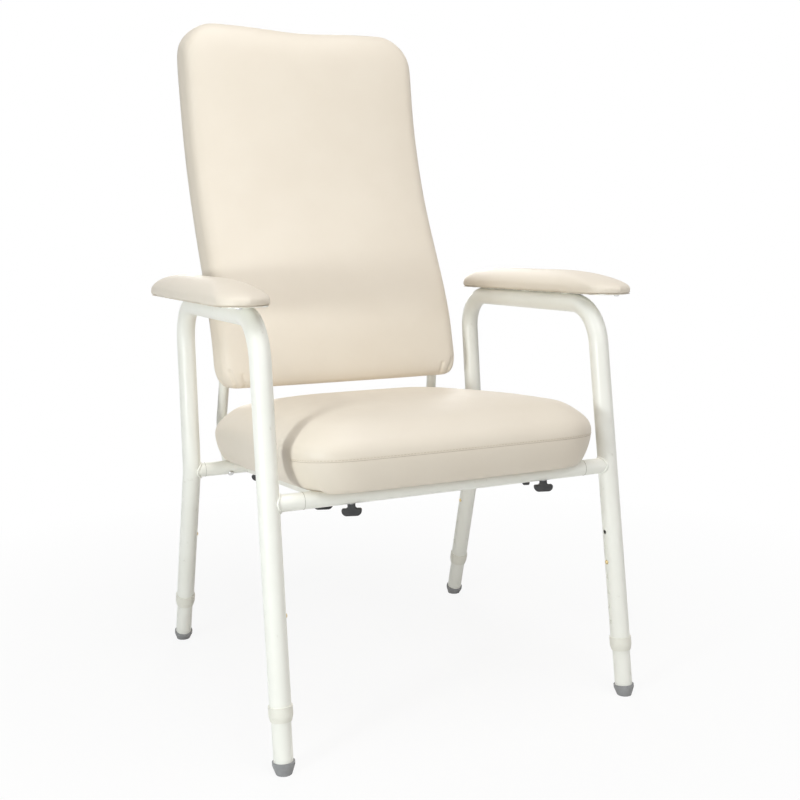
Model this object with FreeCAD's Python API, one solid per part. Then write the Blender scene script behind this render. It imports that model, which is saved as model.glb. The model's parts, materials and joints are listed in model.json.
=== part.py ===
import FreeCAD, Part
import math
import os

from FreeCAD import Placement, Rotation, Vector

# High-backed patient rest chair with height-adjustable legs, in millimetres.
# It faces -Y, +X is to the right seen from the front, and it stands on z = 0.
# While it is built, y is counted back from where the front leg axes meet the floor.

# Side frames: one bent tube is front leg, arm and rear leg
LEG_OD = 31.8
LEG_WALL = 1.5
ARM_HEIGHT = 648.0
ARM_RISE = 6.0
ARM_SPACING = 578.8
SIDE_TILT = 0.75
FRONT_LEAN = 7.0
REAR_LEAN = 17.5
POST_LEAN = 3.8
KNEE_Y = 493.5
KNEE_Z = 352.4
FRONT_ARM_BEND = 72.0
REAR_ARM_BEND = 62.0
KNEE_BEND = 100.0

# Telescopic leg ends
EXTENSION_WALL = 1.5
EXTENSION_PLAY = 0.1
HOLE_PITCH = 25.0
HOLES_ABOVE = 2
HOLES_BELOW = 4
HOLE_DIAMETER = 7.6
BUTTON_HEIGHT = 222.0
BUTTON_DIAMETER = 7.0
BUTTON_PROUD = 1.8
BUTTON_ROUND = 2.1
BUTTON_FLANGE = 11.0
BUTTON_FLANGE_THICK = 1.2
SPRING_WIDTH = 8.0
SPRING_THICK = 0.8
SPRING_LENGTH = 30.0
SPRING_RIVET = 3.0
SPRING_RIVET_RISE = 18.0
EXTENSION_ABOVE_BUTTON = 38.0
COLLAR_HEIGHT = 86.0
COLLAR_OD = 35.4
COLLAR_BAND = 14.0
COLLAR_TAPER = 8.0
COLLAR_LOW_OD = 31.6
COLLAR_FIT = 0.05
TIP_RIM_OD = 33.0
TIP_LOW_OD = 24.0
TIP_RIM = 5.0
TIP_HEIGHT = 17.5
TIP_SOLE = 8.0
TIP_FIT = 0.05
TIP_TRIM = 12.0

# Turn of a bent tube's seam line about its axis, clear of holes and welded stubs
SEAM_TURN = 135.0

# Cross rails that plug onto spigots of the side frames
RAIL_OD = 25.4
RAIL_WALL = 1.5
FRONT_RAIL_Z = 381.1
REAR_RAIL_Z = 350.0
FRONT_RAIL_END = 242.0
REAR_RAIL_END = 270.0
SPIGOT_PLAY = 0.1
SPIGOT_REACH = 150.0
SPIGOT_WALL = 2.0
BAR_SPACING = 363.0
BAR_WIDTH = 20.0
BAR_DEPTH = 25.0
BAR_WALL = 1.5

# Hand knobs that clamp the seat from below
KNOB_INBOARD = 15.0
KNOB_SPACING = BAR_SPACING - 2 * KNOB_INBOARD
BAR_KNOB_BACK = 77.9
KNOB_WINGS = 30.0
KNOB_THICK = 11.0
KNOB_NECK = 11.5
KNOB_SHOULDER = 6.6
KNOB_DROP = 17.7
KNOB_NECK_ROUND = 3.5
KNOB_END_ROUND = 2.6
KNOB_LOW_ROUND = 7.8
KNOB_ROUND = 2.2
KNOB_GAP = 0.3
# How far each knob was turned when it was tightened, in degrees
KNOB_TURNS = {"front_left": -25.0, "front_right": -25.0, "middle_left": -25.0,
              "middle_right": 65.0, "rear_left": -25.0, "rear_right": 20.0}
STUD_DIAMETER = 8.0
STUD_IN_KNOB = 9.0
STUD_PLAY = 0.3
THREAD_PLAY = 0.06
STUD_SHORT_OF_TOP = 0.8
NUT_BARREL = 11.0
NUT_FLANGE = 20.0
NUT_FLANGE_THICK = 1.6

# Seat, in the sloping plane of the two rails
SEAT_HALF_WIDTH = 250.5
SEAT_FRONT = 61.0
SEAT_BEHIND_RAIL = 28.0
SEAT_FRONT_CORNER = 66.0
SEAT_REAR_CORNER = 56.0
SEAT_BOW = 3.0
SEAT_REST_GAP = 0.1
BOARD_THICK = 12.0
BOARD_INSET = 25.0
SEAT_SEAM_RISE = 45.4
SEAT_LOW_INSET = 21.2
SEAT_LOW_FULLNESS = 1.2
SEAT_LOW_REAR_SHARE = 0.4
SEAT_EDGE_RISE = 60.4
SEAT_EDGE_SLOPE = 51.4
SEAT_FULLNESS = 2.05
# Inset and rise of the gentle crown inside the rounded edge
SEAT_CROWN = ((85.0, 109.8), (150.0, 113.0))

# Backrest, along a side profile of three leans
BACK_LOW_Z = 495.0
BACK_TOP_Z = 1172.0
BACK_LOW_Y = 488.2
BACK_LOW_LEAN = 10.75
BACK_MIDDLE_LEAN = 25.8
BACK_TOP_LEAN = 7.5
LUMBAR_Z = 616.4
SHOULDER_Z = 908.5
LUMBAR_BEND = 500.0
SHOULDER_BEND = 890.0
BACK_HALF_WIDTH = 239.5
BACK_FRONT_DEPTH = 34.0
BACK_REAR_DEPTH = 31.0
BACK_FRONT_ROUND = 25.0
BACK_REAR_ROUND = 15.0
BACK_CROWN = 4.0
BACK_BOARD_THICK = 12.0
BACK_BOARD_INSET = 40.0
BACK_PANEL_THICK = 3.0
BACK_PANEL_INSET = 34.0
BACK_PANEL_GAP = 0.4
BACK_PLATE_CORNER = 40.0
# Distance from the end of the backrest, with how far its width and depth draw in there
BACK_LOW_FORM = ((0.0, 24.0, 18.0), (7.0, 10.0, 7.0), (22.0, 2.5, 1.5), (50.0, 0.0, 0.0))
BACK_TOP_FORM = ((85.0, 0.0, 0.0), (48.0, 2.0, 0.5), (24.0, 11.0, 4.0), (9.0, 26.0, 10.0),
                 (0.0, 48.0, 20.0))
BACK_PLAIN_LEVELS = (600.0, 680.0, 770.0, 870.0, 970.0, 1040.0)

# Tubular back frame behind the backrest
UPRIGHT_OD = 19.0
UPRIGHT_WALL = 1.5
UPRIGHT_GAP = 0.3
UPRIGHT_SPACING = 448.0
UPRIGHT_TILT = 3.1
UPRIGHT_BOW_Y = 555.2
UPRIGHT_BOW_Z = 407.8
UPRIGHT_BOW_BEND = 55.0
UPRIGHT_NECK_Z = 504.0
UPRIGHT_NECK_BEND = 120.0
UPRIGHT_TOP_Z = 1125.0
UPRIGHT_TOP_BEND = 60.0
PLUG_LENGTH = 34.0
PLUG_PLAY = 0.05
BOLT_DIAMETER = 6.0
BOLT_PLAY = 0.3
BOLT_HEAD = 11.0
BOLT_HEAD_RISE = 4.0
BOLT_HEAD_ROUND = 2.8
BOLT_IN_PLUG = 20.0
CLIP_LEVELS = (735.0, 1055.0)
CLIP_THICK = 1.5
CLIP_WIDTH = 16.0
CLIP_REACH = 26.0
CLIP_PLAY = 0.1
CLIP_SCREW_AT = 18.5

# Arm rests
PAD_OUTBOARD = 22.0
PAD_LENGTH = 490.0
PAD_MIDDLE_Y = 287.0
PAD_HALF_WIDTH = 42.5
PAD_CORNER = 40.5
PAD_BOW = 3.0
PAD_EDGE_RISE = 10.0
PAD_LOW_INSET = 3.0
PAD_LOW_FULLNESS = 2.0
PAD_CROWN_RISE = 24.5
PAD_SIDE_SLOPE = 40.0
PAD_FRONT_SLOPE = 180.0
PAD_REAR_SLOPE = 75.0
PAD_FULLNESS = 1.75
PAD_BOARD_THICK = 9.0
PAD_BOARD_INSET = 11.0
STRIP_THICK = 2.0
STRIP_INBOARD = 9.0
STRIP_OUTBOARD = 42.0
STRIP_LENGTH = 470.0
STRIP_CORNER = 8.0
ARM_SCREW_OUTBOARD = 31.0
ARM_SCREW_PITCH = 148.0
ARM_SCREW_COUNT = 4

# Steps of the padded forms, from the underside to the edge and on to the crown
LOW_STEPS = 4
CROWN_STEPS = 8
CROWN_TURN = 82.0

# Pan-head screws for pads and clips
SCREW_SHANK = 4.0
SCREW_HEAD = 9.0
SCREW_HEAD_RISE = 3.0
SCREW_HEAD_ROUND = 1.8
SCREW_LENGTH = 10.0

X_AXIS = Vector(1, 0, 0)
Y_AXIS = Vector(0, 1, 0)
Z_AXIS = Vector(0, 0, 1)
TINY = 1e-4
ORIGIN = Vector(0, 0, 0)
# Longer than the chair, for cuts and measuring lines that pass right through it
FAR = 2000.0
SIDES = (("left", -1), ("right", 1))


def tan(degrees):
    return math.tan(math.radians(degrees))


def cos(degrees):
    return math.cos(math.radians(degrees))


def sin(degrees):
    return math.sin(math.radians(degrees))


# Places worked out from the driving sizes
EXTENSION_OD = LEG_OD - 2 * LEG_WALL - 2 * EXTENSION_PLAY
SPIGOT_OD = RAIL_OD - 2 * RAIL_WALL - 2 * SPIGOT_PLAY
FRONT_RAIL_Y = FRONT_RAIL_Z * tan(FRONT_LEAN)
REAR_FOOT_Y = KNEE_Y + KNEE_Z * tan(REAR_LEAN)
REAR_RAIL_Y = REAR_FOOT_Y - REAR_RAIL_Z * tan(REAR_LEAN)
SEAT_RUN = math.hypot(REAR_RAIL_Y - FRONT_RAIL_Y, REAR_RAIL_Z - FRONT_RAIL_Z)
SEAT_SLOPE = math.degrees(math.atan2(REAR_RAIL_Z - FRONT_RAIL_Z, REAR_RAIL_Y - FRONT_RAIL_Y))
BOARD_LEVEL = RAIL_OD / 2 + SEAT_REST_GAP
BOARD_TOP = BOARD_LEVEL + BOARD_THICK
PANEL_FRONT = BACK_REAR_DEPTH + BACK_PANEL_GAP
PANEL_REAR = PANEL_FRONT + BACK_PANEL_THICK
UPRIGHT_DEPTH = PANEL_REAR + UPRIGHT_GAP + UPRIGHT_OD / 2
ARM_FRONT_Z = ARM_HEIGHT - ARM_RISE / 2
ARM_REAR_Z = ARM_HEIGHT + ARM_RISE / 2
ARM_FRONT_Y = ARM_FRONT_Z * tan(FRONT_LEAN)
ARM_REAR_Y = KNEE_Y + (ARM_REAR_Z - KNEE_Z) * tan(POST_LEAN)
ARM_SLOPE = math.degrees(math.atan2(ARM_RISE, ARM_REAR_Y - ARM_FRONT_Y))
STRIP_LEVEL = ARM_HEIGHT + LEG_OD / 2
PAD_LEVEL = STRIP_LEVEL + STRIP_THICK


class Leg:
    """One of the four legs, with its lean and where its axis meets the floor."""

    def __init__(self, end, side_name, side):
        self.name = end + "_" + side_name
        self.side = side
        self.lean = FRONT_LEAN if end == "front" else -REAR_LEAN
        self.foot_y = 0.0 if end == "front" else REAR_FOOT_Y

    def along(self, height):
        """Distance along the leg axis from the floor to a height."""
        return height / cos(self.lean)

    def point(self, distance):
        """Point of the leg axis in the flat plane of its side frame."""
        return Vector(0, self.foot_y + distance * sin(self.lean), distance * cos(self.lean))

    def place(self, shape):
        """Move a shape made along +Z from the floor point onto the leg."""
        leaning = Placement(Vector(0, self.foot_y, 0), Rotation(X_AXIS, -self.lean))
        return spread(moved(shape, leaning), self.side)


LEGS = [Leg(end, name, side) for end in ("front", "rear") for name, side in SIDES]


def moved(shape, placement):
    copy = shape.copy()
    copy.Placement = placement.multiply(copy.Placement)
    return copy


def spread(shape, side):
    """Move a shape from the flat side-frame plane to its tilted place on one side."""
    pivot = Vector(0, 0, ARM_HEIGHT)
    tilt = Placement(ORIGIN, Rotation(Y_AXIS, -side * SIDE_TILT), pivot)
    out = Placement(Vector(side * ARM_SPACING / 2, 0, 0), Rotation())
    return moved(shape, out.multiply(tilt))


def on_seat(shape):
    """Move a shape from the seat's own plane, whose origin is the front rail's axis."""
    slope = Placement(Vector(0, FRONT_RAIL_Y, FRONT_RAIL_Z), Rotation(X_AXIS, SEAT_SLOPE))
    return moved(shape, slope)


def on_arm(shape):
    """Tilt a shape with the arm tubes, which rise a little towards the rear."""
    middle = Vector(0, (ARM_FRONT_Y + ARM_REAR_Y) / 2, ARM_HEIGHT)
    return moved(shape, Placement(ORIGIN, Rotation(X_AXIS, ARM_SLOPE), middle))


def union(shapes):
    return shapes[0].multiFuse(shapes[1:]).removeSplitter()


def rod(diameter, start, end):
    return Part.makeCylinder(diameter / 2, (end - start).Length, start, end - start)


def seamed_rod(diameter, start, end):
    bar = rod(diameter, start, end)
    bar.rotate(start, end - start, SEAM_TURN)
    return bar


def swept_rod(points, bends, diameter):
    """Round bar along straight runs, with an arc of the given radius at each corner."""
    solids = []
    start = points[0]
    for corner, after, bend in zip(points[1:-1], points[2:], bends):
        into = (corner - start).normalize()
        out = (after - corner).normalize()
        turn = into.getAngle(out)
        reach = bend * math.tan(turn / 2)
        first = corner - into * reach
        axis = into.cross(out).normalize()
        centre = first + axis.cross(into) * bend
        ring = Part.makeCircle(diameter / 2, first, into)
        ring.rotate(first, into, SEAM_TURN)
        solids.append(seamed_rod(diameter, start, first))
        solids.append(Part.Face(Part.Wire(ring)).revolve(centre, axis, math.degrees(turn)))
        start = corner + out * reach
    solids.append(seamed_rod(diameter, start, points[-1]))
    return union(solids)


def bent_tube(points, bends, diameter, wall):
    first = points[0] + (points[0] - points[1]).normalize()
    last = points[-1] + (points[-1] - points[-2]).normalize()
    bore = swept_rod([first] + points[1:-1] + [last], bends, diameter - 2 * wall)
    return swept_rod(points, bends, diameter).cut(bore)


def side_edge(start, end, bow):
    """Edge from start to end that stands out by bow in its middle."""
    if bow.Length == 0:
        return Part.makeLine(start, end)
    return Part.Arc(start, (start + end) / 2 + bow, end).toShape()


def outline(half_width, front, rear, front_corner, rear_corner, level, bow, rear_bow):
    """Closed rounded outline, level at one height, with sides that stand out by bow."""
    half = math.sqrt(0.5)
    edges = []
    corners = ((1, 1, rear_corner), (-1, 1, rear_corner), (-1, -1, front_corner), (1, -1, front_corner))
    arcs = []
    for across, along, radius in corners:
        end = rear if along > 0 else front
        centre = Vector(across * (half_width - radius), end - along * radius, level)
        side_point = centre + Vector(across * radius, 0, 0)
        end_point = centre + Vector(0, along * radius, 0)
        middle = centre + Vector(across * radius * half, along * radius * half, 0)
        ends = (side_point, end_point) if across == along else (end_point, side_point)
        arcs.append((ends[0], middle, ends[1]))
    bows = (Vector(0, rear_bow, 0), Vector(-bow, 0, 0), Vector(0, -bow, 0), Vector(bow, 0, 0))
    for this, following, stand_out in zip(arcs, arcs[1:] + arcs[:1], bows):
        edges.append(Part.Arc(*this).toShape())
        edges.append(side_edge(this[2], following[0], stand_out))
    return Part.Wire(edges)


def low_levels(edge_rise, fullness):
    """Rise of each level below a padded form's widest edge, with its share of the inset there."""
    turns = [90.0 * step / LOW_STEPS for step in range(LOW_STEPS)]
    power = 2 / fullness
    return [(edge_rise * (1 - cos(turn) ** power), 1 - sin(turn) ** power) for turn in turns]


def top_levels(edge_rise, rise, fullness):
    """Rise of each level above a padded form's widest edge, with its share of the slope there."""
    turns = [CROWN_TURN * step / CROWN_STEPS for step in range(CROWN_STEPS + 1)]
    power = 2 / fullness
    return [(edge_rise + rise * sin(turn) ** power, 1 - cos(turn) ** power) for turn in turns]


def banded_loft(wires):
    return Part.makeLoft(wires, True, True)


def pan_screw(seat, inward):
    """Screw whose head stands on the seat point and whose shank runs inward."""
    head = Part.makeCylinder(SCREW_HEAD / 2, SCREW_HEAD_RISE, seat, inward * -1)
    head = head.makeFillet(SCREW_HEAD_ROUND, [edge_at(head, seat - inward * SCREW_HEAD_RISE)])
    return union([head, Part.makeCylinder(SCREW_SHANK / 2, SCREW_LENGTH, seat, inward)])


def edge_at(shape, point):
    """The edge whose centre of mass lies nearest to a point."""
    return min(shape.Edges, key=lambda edge: (edge.CenterOfMass - point).Length)


def screw_hole(seat, inward):
    return Part.makeCylinder(SCREW_SHANK / 2, SCREW_LENGTH, seat, inward)


# Side frames

def side_frame_points(front, rear):
    ends = COLLAR_HEIGHT - COLLAR_BAND / 2 + COLLAR_TAPER / 2
    return [front.point(front.along(ends)), Vector(0, ARM_FRONT_Y, ARM_FRONT_Z),
            Vector(0, ARM_REAR_Y, ARM_REAR_Z), Vector(0, KNEE_Y, KNEE_Z), rear.point(rear.along(ends))]


def hole_distances(leg):
    start = leg.along(BUTTON_HEIGHT)
    return [start + step * HOLE_PITCH for step in range(-HOLES_BELOW, HOLES_ABOVE + 1)]


def spigot(side, rail_y, rail_z, rail_end):
    """Welded stub in line with a rail, with the thinner spigot that the rail slides over."""
    inner = Vector(side * SPIGOT_REACH, rail_y, rail_z)
    shoulder = Vector(side * rail_end, rail_y, rail_z)
    root = Vector(side * ARM_SPACING / 2, rail_y, rail_z)
    body = union([rod(RAIL_OD, root, shoulder), rod(SPIGOT_OD, root, inner)])
    return body.cut(rod(SPIGOT_OD - 2 * SPIGOT_WALL, root, inner))


def side_frame(side):
    front, rear = [leg for leg in LEGS if leg.side == side]
    points = side_frame_points(front, rear)
    bends = (FRONT_ARM_BEND, REAR_ARM_BEND, KNEE_BEND)
    tube = bent_tube(points, bends, LEG_OD, LEG_WALL)
    for leg in (front, rear):
        for distance in hole_distances(leg):
            start = leg.point(distance)
            tube = tube.cut(rod(HOLE_DIAMETER, start, start - X_AXIS * side * LEG_OD))
    core = spread(swept_rod(points, bends, LEG_OD - LEG_WALL), side)
    stubs = [spigot(side, FRONT_RAIL_Y, FRONT_RAIL_Z, FRONT_RAIL_END),
             spigot(side, REAR_RAIL_Y, REAR_RAIL_Z, REAR_RAIL_END)]
    frame = union([spread(tube, side)] + [stub.cut(core) for stub in stubs])
    frame = frame.cut(knob_bores([0.0, SEAT_RUN]))
    return frame.cut(union([bolt_bore(each) for each in (-1, 1)]))


# Rails and seat bars

def knob_bores(backs):
    """Upright holes for the knob studs across the rails at the given distances back."""
    bores = []
    for back in backs:
        for _, side in SIDES:
            low = Vector(side * KNOB_SPACING / 2, back, -RAIL_OD)
            bores.append(rod(STUD_DIAMETER + 2 * STUD_PLAY, low, low + Z_AXIS * 2 * RAIL_OD))
    return on_seat(union(bores))


def rail(back, end):
    ends = [Vector(-end, back, 0), Vector(end, back, 0)]
    tube = rod(RAIL_OD, *ends).cut(rod(RAIL_OD - 2 * RAIL_WALL, *ends))
    return on_seat(tube).cut(knob_bores([back]))


def rear_rail():
    return rail(SEAT_RUN, REAR_RAIL_END).cut(union([bolt_bore(side) for _, side in SIDES]))


def seat_bar(side):
    """Box tube between the rails, with ends that fit round them."""
    def block(width, depth):
        corner = Vector(side * BAR_SPACING / 2 - width / 2, 0, -depth / 2)
        return Part.makeBox(width, SEAT_RUN, depth, corner)
    bar = block(BAR_WIDTH, BAR_DEPTH).cut(block(BAR_WIDTH - 2 * BAR_WALL, BAR_DEPTH - 2 * BAR_WALL))
    for back in (0.0, SEAT_RUN):
        bar = bar.cut(rod(RAIL_OD, Vector(-FRONT_RAIL_END, back, 0), Vector(FRONT_RAIL_END, back, 0)))
    low = Vector(side * BAR_SPACING / 2, BAR_KNOB_BACK, -BAR_DEPTH)
    return on_seat(bar.cut(rod(STUD_DIAMETER + 2 * STUD_PLAY, low, low + Z_AXIS * 2 * BAR_DEPTH)))


# Hand knobs

def knob_places():
    """Name, place across and back, and clamped depth of each hand knob."""
    places = []
    for name, side in SIDES:
        places.append(("front_" + name, side * KNOB_SPACING / 2, 0.0, RAIL_OD / 2))
        places.append(("middle_" + name, side * BAR_SPACING / 2, BAR_KNOB_BACK, BAR_DEPTH / 2))
        places.append(("rear_" + name, side * KNOB_SPACING / 2, SEAT_RUN, RAIL_OD / 2))
    return places


def knob_stud(across, back, depth):
    low = Vector(across, back, -depth - KNOB_GAP - STUD_IN_KNOB)
    return on_seat(rod(STUD_DIAMETER, low, Vector(across, back, BOARD_TOP - STUD_SHORT_OF_TOP)))


def edges_through(body, across, level):
    """Edges along a knob's thickness at a distance either side of its middle and a level."""
    found = []
    for edge in body.Edges:
        middle = edge.CenterOfMass
        if (abs(abs(middle.x) - across) < TINY and abs(middle.y) < TINY
                and abs(middle.z - level) < TINY):
            found.append(edge)
    return found


def knob(across, back, depth, turn):
    """T-shaped moulded knob, a neck over two wings with a rounded underside."""
    half = KNOB_WINGS / 2
    neck = KNOB_NECK / 2
    right = [(neck, 0.0), (neck, -KNOB_SHOULDER), (half, -KNOB_SHOULDER), (half, -KNOB_DROP)]
    left = [(-x, z) for x, z in reversed(right)]
    corners = [Vector(x, -KNOB_THICK / 2, z) for x, z in right + left]
    body = Part.Face(Part.makePolygon(corners + corners[:1])).extrude(Y_AXIS * KNOB_THICK)
    for place, level, radius in ((neck, -KNOB_SHOULDER, KNOB_NECK_ROUND),
                                 (half, -KNOB_SHOULDER, KNOB_END_ROUND),
                                 (half, -KNOB_DROP, KNOB_LOW_ROUND)):
        body = body.makeFillet(radius, edges_through(body, place, level))
    rims = [edge for edge in body.Edges
            if edge.BoundBox.YLength < KNOB_THICK / 2 and edge.BoundBox.ZMin < -KNOB_ROUND]
    body = body.makeFillet(KNOB_ROUND, rims)
    top = -depth - KNOB_GAP
    body = moved(body, Placement(Vector(across, back, top), Rotation(Z_AXIS, turn)))
    socket = rod(STUD_DIAMETER, Vector(across, back, top - STUD_IN_KNOB), Vector(across, back, top))
    return on_seat(body.cut(socket))


# Seat

def seat_outline(inset, rear_inset, rise):
    """Outline drawn in at the front and sides, and at the rear, at a rise above the rails."""
    half_width = SEAT_HALF_WIDTH - inset
    share = half_width / SEAT_HALF_WIDTH
    rear = SEAT_RUN + SEAT_BEHIND_RAIL - rear_inset
    return outline(half_width, inset - SEAT_FRONT, rear, SEAT_FRONT_CORNER * share,
                   SEAT_REAR_CORNER * share, BOARD_LEVEL + rise, SEAT_BOW * share, SEAT_BOW * share)


def seat_board_blank():
    face = Part.Face(seat_outline(BOARD_INSET, BOARD_INSET * SEAT_LOW_REAR_SHARE, 0.0))
    return face.extrude(Z_AXIS * BOARD_THICK)


def nut(across, back):
    """Flanged threaded insert let into the board from above."""
    barrel = rod(NUT_BARREL, Vector(across, back, BOARD_LEVEL), Vector(across, back, BOARD_TOP))
    flange = rod(NUT_FLANGE, Vector(across, back, BOARD_TOP - NUT_FLANGE_THICK),
                 Vector(across, back, BOARD_TOP))
    return union([barrel, flange])


def seat_board():
    board = seat_board_blank()
    for _, across, back, _ in knob_places():
        board = board.cut(nut(across, back))
    return on_seat(board)


def seat_nuts():
    nuts = []
    for _, across, back, _ in knob_places():
        low = Vector(across, back, 0)
        bore = rod(STUD_DIAMETER + 2 * THREAD_PLAY, low, low + Z_AXIS * BOARD_TOP)
        nuts.append(on_seat(nut(across, back).cut(bore)))
    return Part.makeCompound(nuts)


def seat_cushion():
    """Drawn in below the seam all round, rounded over above it, and gently crowned."""
    wires = []
    for rise, share in low_levels(SEAT_SEAM_RISE, SEAT_LOW_FULLNESS):
        inset = SEAT_LOW_INSET * share
        wires.append(seat_outline(inset, inset * SEAT_LOW_REAR_SHARE, rise))
    for rise, share in top_levels(SEAT_SEAM_RISE, SEAT_EDGE_RISE, SEAT_FULLNESS):
        inset = SEAT_EDGE_SLOPE * share
        wires.append(seat_outline(inset, inset, rise))
    for inset, rise in SEAT_CROWN:
        wires.append(seat_outline(inset, inset, rise))
    return on_seat(banded_loft(wires).cut(seat_board_blank()))


# Backrest

def back_corners():
    """Corner points of the backrest's side profile, as (y, z), from the bottom up."""
    lumbar_y = BACK_LOW_Y + (LUMBAR_Z - BACK_LOW_Z) * tan(BACK_LOW_LEAN)
    shoulder_y = lumbar_y + (SHOULDER_Z - LUMBAR_Z) * tan(BACK_MIDDLE_LEAN)
    top_y = shoulder_y + (BACK_TOP_Z - SHOULDER_Z) * tan(BACK_TOP_LEAN)
    return [(BACK_LOW_Y, BACK_LOW_Z), (lumbar_y, LUMBAR_Z), (shoulder_y, SHOULDER_Z), (top_y, BACK_TOP_Z)]


def back_lines(depth):
    """Profile lines moved back by a depth, each as a point and a lean."""
    leans = (BACK_LOW_LEAN, BACK_MIDDLE_LEAN, BACK_TOP_LEAN)
    return [(y + depth * cos(lean), z - depth * sin(lean), lean)
            for (y, z), lean in zip(back_corners(), leans)]


def y_on_line(line, z):
    y, at_z, lean = line
    return y + (z - at_z) * tan(lean)


def crossing(line, other):
    """Where two profile lines meet, as (y, z)."""
    z = ((other[0] - other[1] * tan(other[2])) - (line[0] - line[1] * tan(line[2])))
    z /= tan(line[2]) - tan(other[2])
    return y_on_line(line, z), z


def back_points(depth, low_z, top_z):
    """Profile corner points at a depth, cut off at two heights."""
    low, middle, top = back_lines(depth)
    return [(y_on_line(low, low_z), low_z), crossing(low, middle), crossing(middle, top),
            (y_on_line(top, top_z), top_z)]


def back_bends(depth):
    """The bends keep their centres as the depth changes."""
    return LUMBAR_BEND - depth, SHOULDER_BEND + depth


def back_edges(depth, low_z, top_z):
    """Lines and arcs of the side profile at a depth."""
    points = [Vector(0, y, z) for y, z in back_points(depth, low_z, top_z)]
    edges = []
    start = points[0]
    for corner, after, bend in zip(points[1:-1], points[2:], back_bends(depth)):
        into = (corner - start).normalize()
        out = (after - corner).normalize()
        half_turn = into.getAngle(out) / 2
        first = corner - into * bend * math.tan(half_turn)
        last = corner + out * bend * math.tan(half_turn)
        inward = (out - into).normalize()
        middle = corner + inward * bend * (1 / math.cos(half_turn) - 1)
        edges.append(Part.makeLine(start, first))
        edges.append(Part.Arc(first, middle, last).toShape())
        start = last
    edges.append(Part.makeLine(start, points[-1]))
    return edges


def back_y(z):
    """Depth of the profile's middle line at a height."""
    level = Part.makeLine(Vector(0, -FAR, z), Vector(0, FAR, z))
    wire = Part.Wire(back_edges(0.0, BACK_LOW_Z - 1, BACK_TOP_Z + 1))
    return wire.distToShape(level)[1][0][0].y


def back_lean(z):
    step = 1.0
    low = max(z - step, BACK_LOW_Z)
    high = min(z + step, BACK_TOP_Z)
    return math.degrees(math.atan2(back_y(high) - back_y(low), high - low))


def back_outline(z, width_inset, depth_inset):
    slant = 1 / cos(back_lean(z))
    middle = back_y(z)
    front = middle - (BACK_FRONT_DEPTH - depth_inset) * slant
    rear = middle + (BACK_REAR_DEPTH - depth_inset) * slant
    share = (rear - front) / (BACK_FRONT_DEPTH + BACK_REAR_DEPTH)
    return outline(BACK_HALF_WIDTH - width_inset, front, rear, BACK_FRONT_ROUND * share,
                   BACK_REAR_ROUND * share, z, BACK_CROWN, 0.0)


def backrest_slab(front_depth, rear_depth):
    """Layer between two depths, bent to the side profile, over the whole backrest."""
    ahead = back_edges(front_depth, BACK_LOW_Z, BACK_TOP_Z)
    behind = back_edges(rear_depth, BACK_LOW_Z, BACK_TOP_Z)
    low_end = Part.makeLine(ahead[0].firstVertex().Point, behind[0].firstVertex().Point)
    top_end = Part.makeLine(ahead[-1].lastVertex().Point, behind[-1].lastVertex().Point)
    side = Part.Face(Part.Wire(Part.__sortEdges__(ahead + behind + [low_end, top_end])))
    side.translate(X_AXIS * -FAR)
    return side.extrude(X_AXIS * 2 * FAR)


def backrest_plate(front_depth, rear_depth, inset):
    """Bent plate drawn in from the backrest's edges, with round corners."""
    window = outline(BACK_HALF_WIDTH - inset, BACK_LOW_Z + inset, BACK_TOP_Z - inset,
                     BACK_PLATE_CORNER, BACK_PLATE_CORNER, 0.0, 0.0, 0.0)
    upright = moved(Part.Face(window), Placement(ORIGIN, Rotation(X_AXIS, 90)))
    return backrest_slab(front_depth, rear_depth).common(upright.extrude(Y_AXIS * FAR))


def backrest_board_blank():
    return backrest_plate(PANEL_FRONT - BACK_BOARD_THICK, PANEL_FRONT, BACK_BOARD_INSET)


def clip_screw_holes():
    return union([screw_hole(seat, inward) for seat, inward in clip_screw_seats()])


def backrest_board():
    return backrest_board_blank().cut(clip_screw_holes())


def backrest_cushion():
    levels = [(BACK_LOW_Z + rise, width, depth) for rise, width, depth in BACK_LOW_FORM]
    levels += [(z, 0.0, 0.0) for z in BACK_PLAIN_LEVELS]
    levels += [(BACK_TOP_Z - drop, width, depth) for drop, width, depth in BACK_TOP_FORM]
    form = Part.makeLoft([back_outline(*level) for level in levels], True, False)
    behind = backrest_slab(BACK_REAR_DEPTH, BACK_REAR_DEPTH + BACK_FRONT_DEPTH)
    return form.cut(behind).cut(backrest_board_blank())


def backrest_rear_panel():
    return backrest_plate(PANEL_FRONT, PANEL_REAR, BACK_PANEL_INSET).cut(clip_screw_holes())


# Back frame

def upright_x(side, z):
    return side * (UPRIGHT_SPACING / 2 - (z - REAR_RAIL_Z) * tan(UPRIGHT_TILT))


def upright_points(side):
    """Corner points of one upright, from the rear rail's axis to its top corner."""
    _, lumbar, shoulder, top = back_points(UPRIGHT_DEPTH, UPRIGHT_NECK_Z, UPRIGHT_TOP_Z)
    neck = (y_on_line(back_lines(UPRIGHT_DEPTH)[0], UPRIGHT_NECK_Z), UPRIGHT_NECK_Z)
    corners = [(REAR_RAIL_Y, REAR_RAIL_Z), (UPRIGHT_BOW_Y, UPRIGHT_BOW_Z), neck, lumbar, shoulder, top]
    return [Vector(upright_x(side, z), y, z) for y, z in corners]


def rail_solid():
    reach = Vector(REAR_RAIL_END, 0, 0)
    centre = Vector(0, REAR_RAIL_Y, REAR_RAIL_Z)
    return rod(RAIL_OD, centre - reach, centre + reach)


def back_frame():
    """One tube bent into an arch, with feet that fit over the rear rail."""
    left = upright_points(-1)
    right = upright_points(1)
    climb = [UPRIGHT_BOW_BEND, UPRIGHT_NECK_BEND, *back_bends(UPRIGHT_DEPTH), UPRIGHT_TOP_BEND]
    tube = bent_tube(left + right[::-1], climb + climb[::-1], UPRIGHT_OD, UPRIGHT_WALL)
    return tube.cut(rail_solid())


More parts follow.
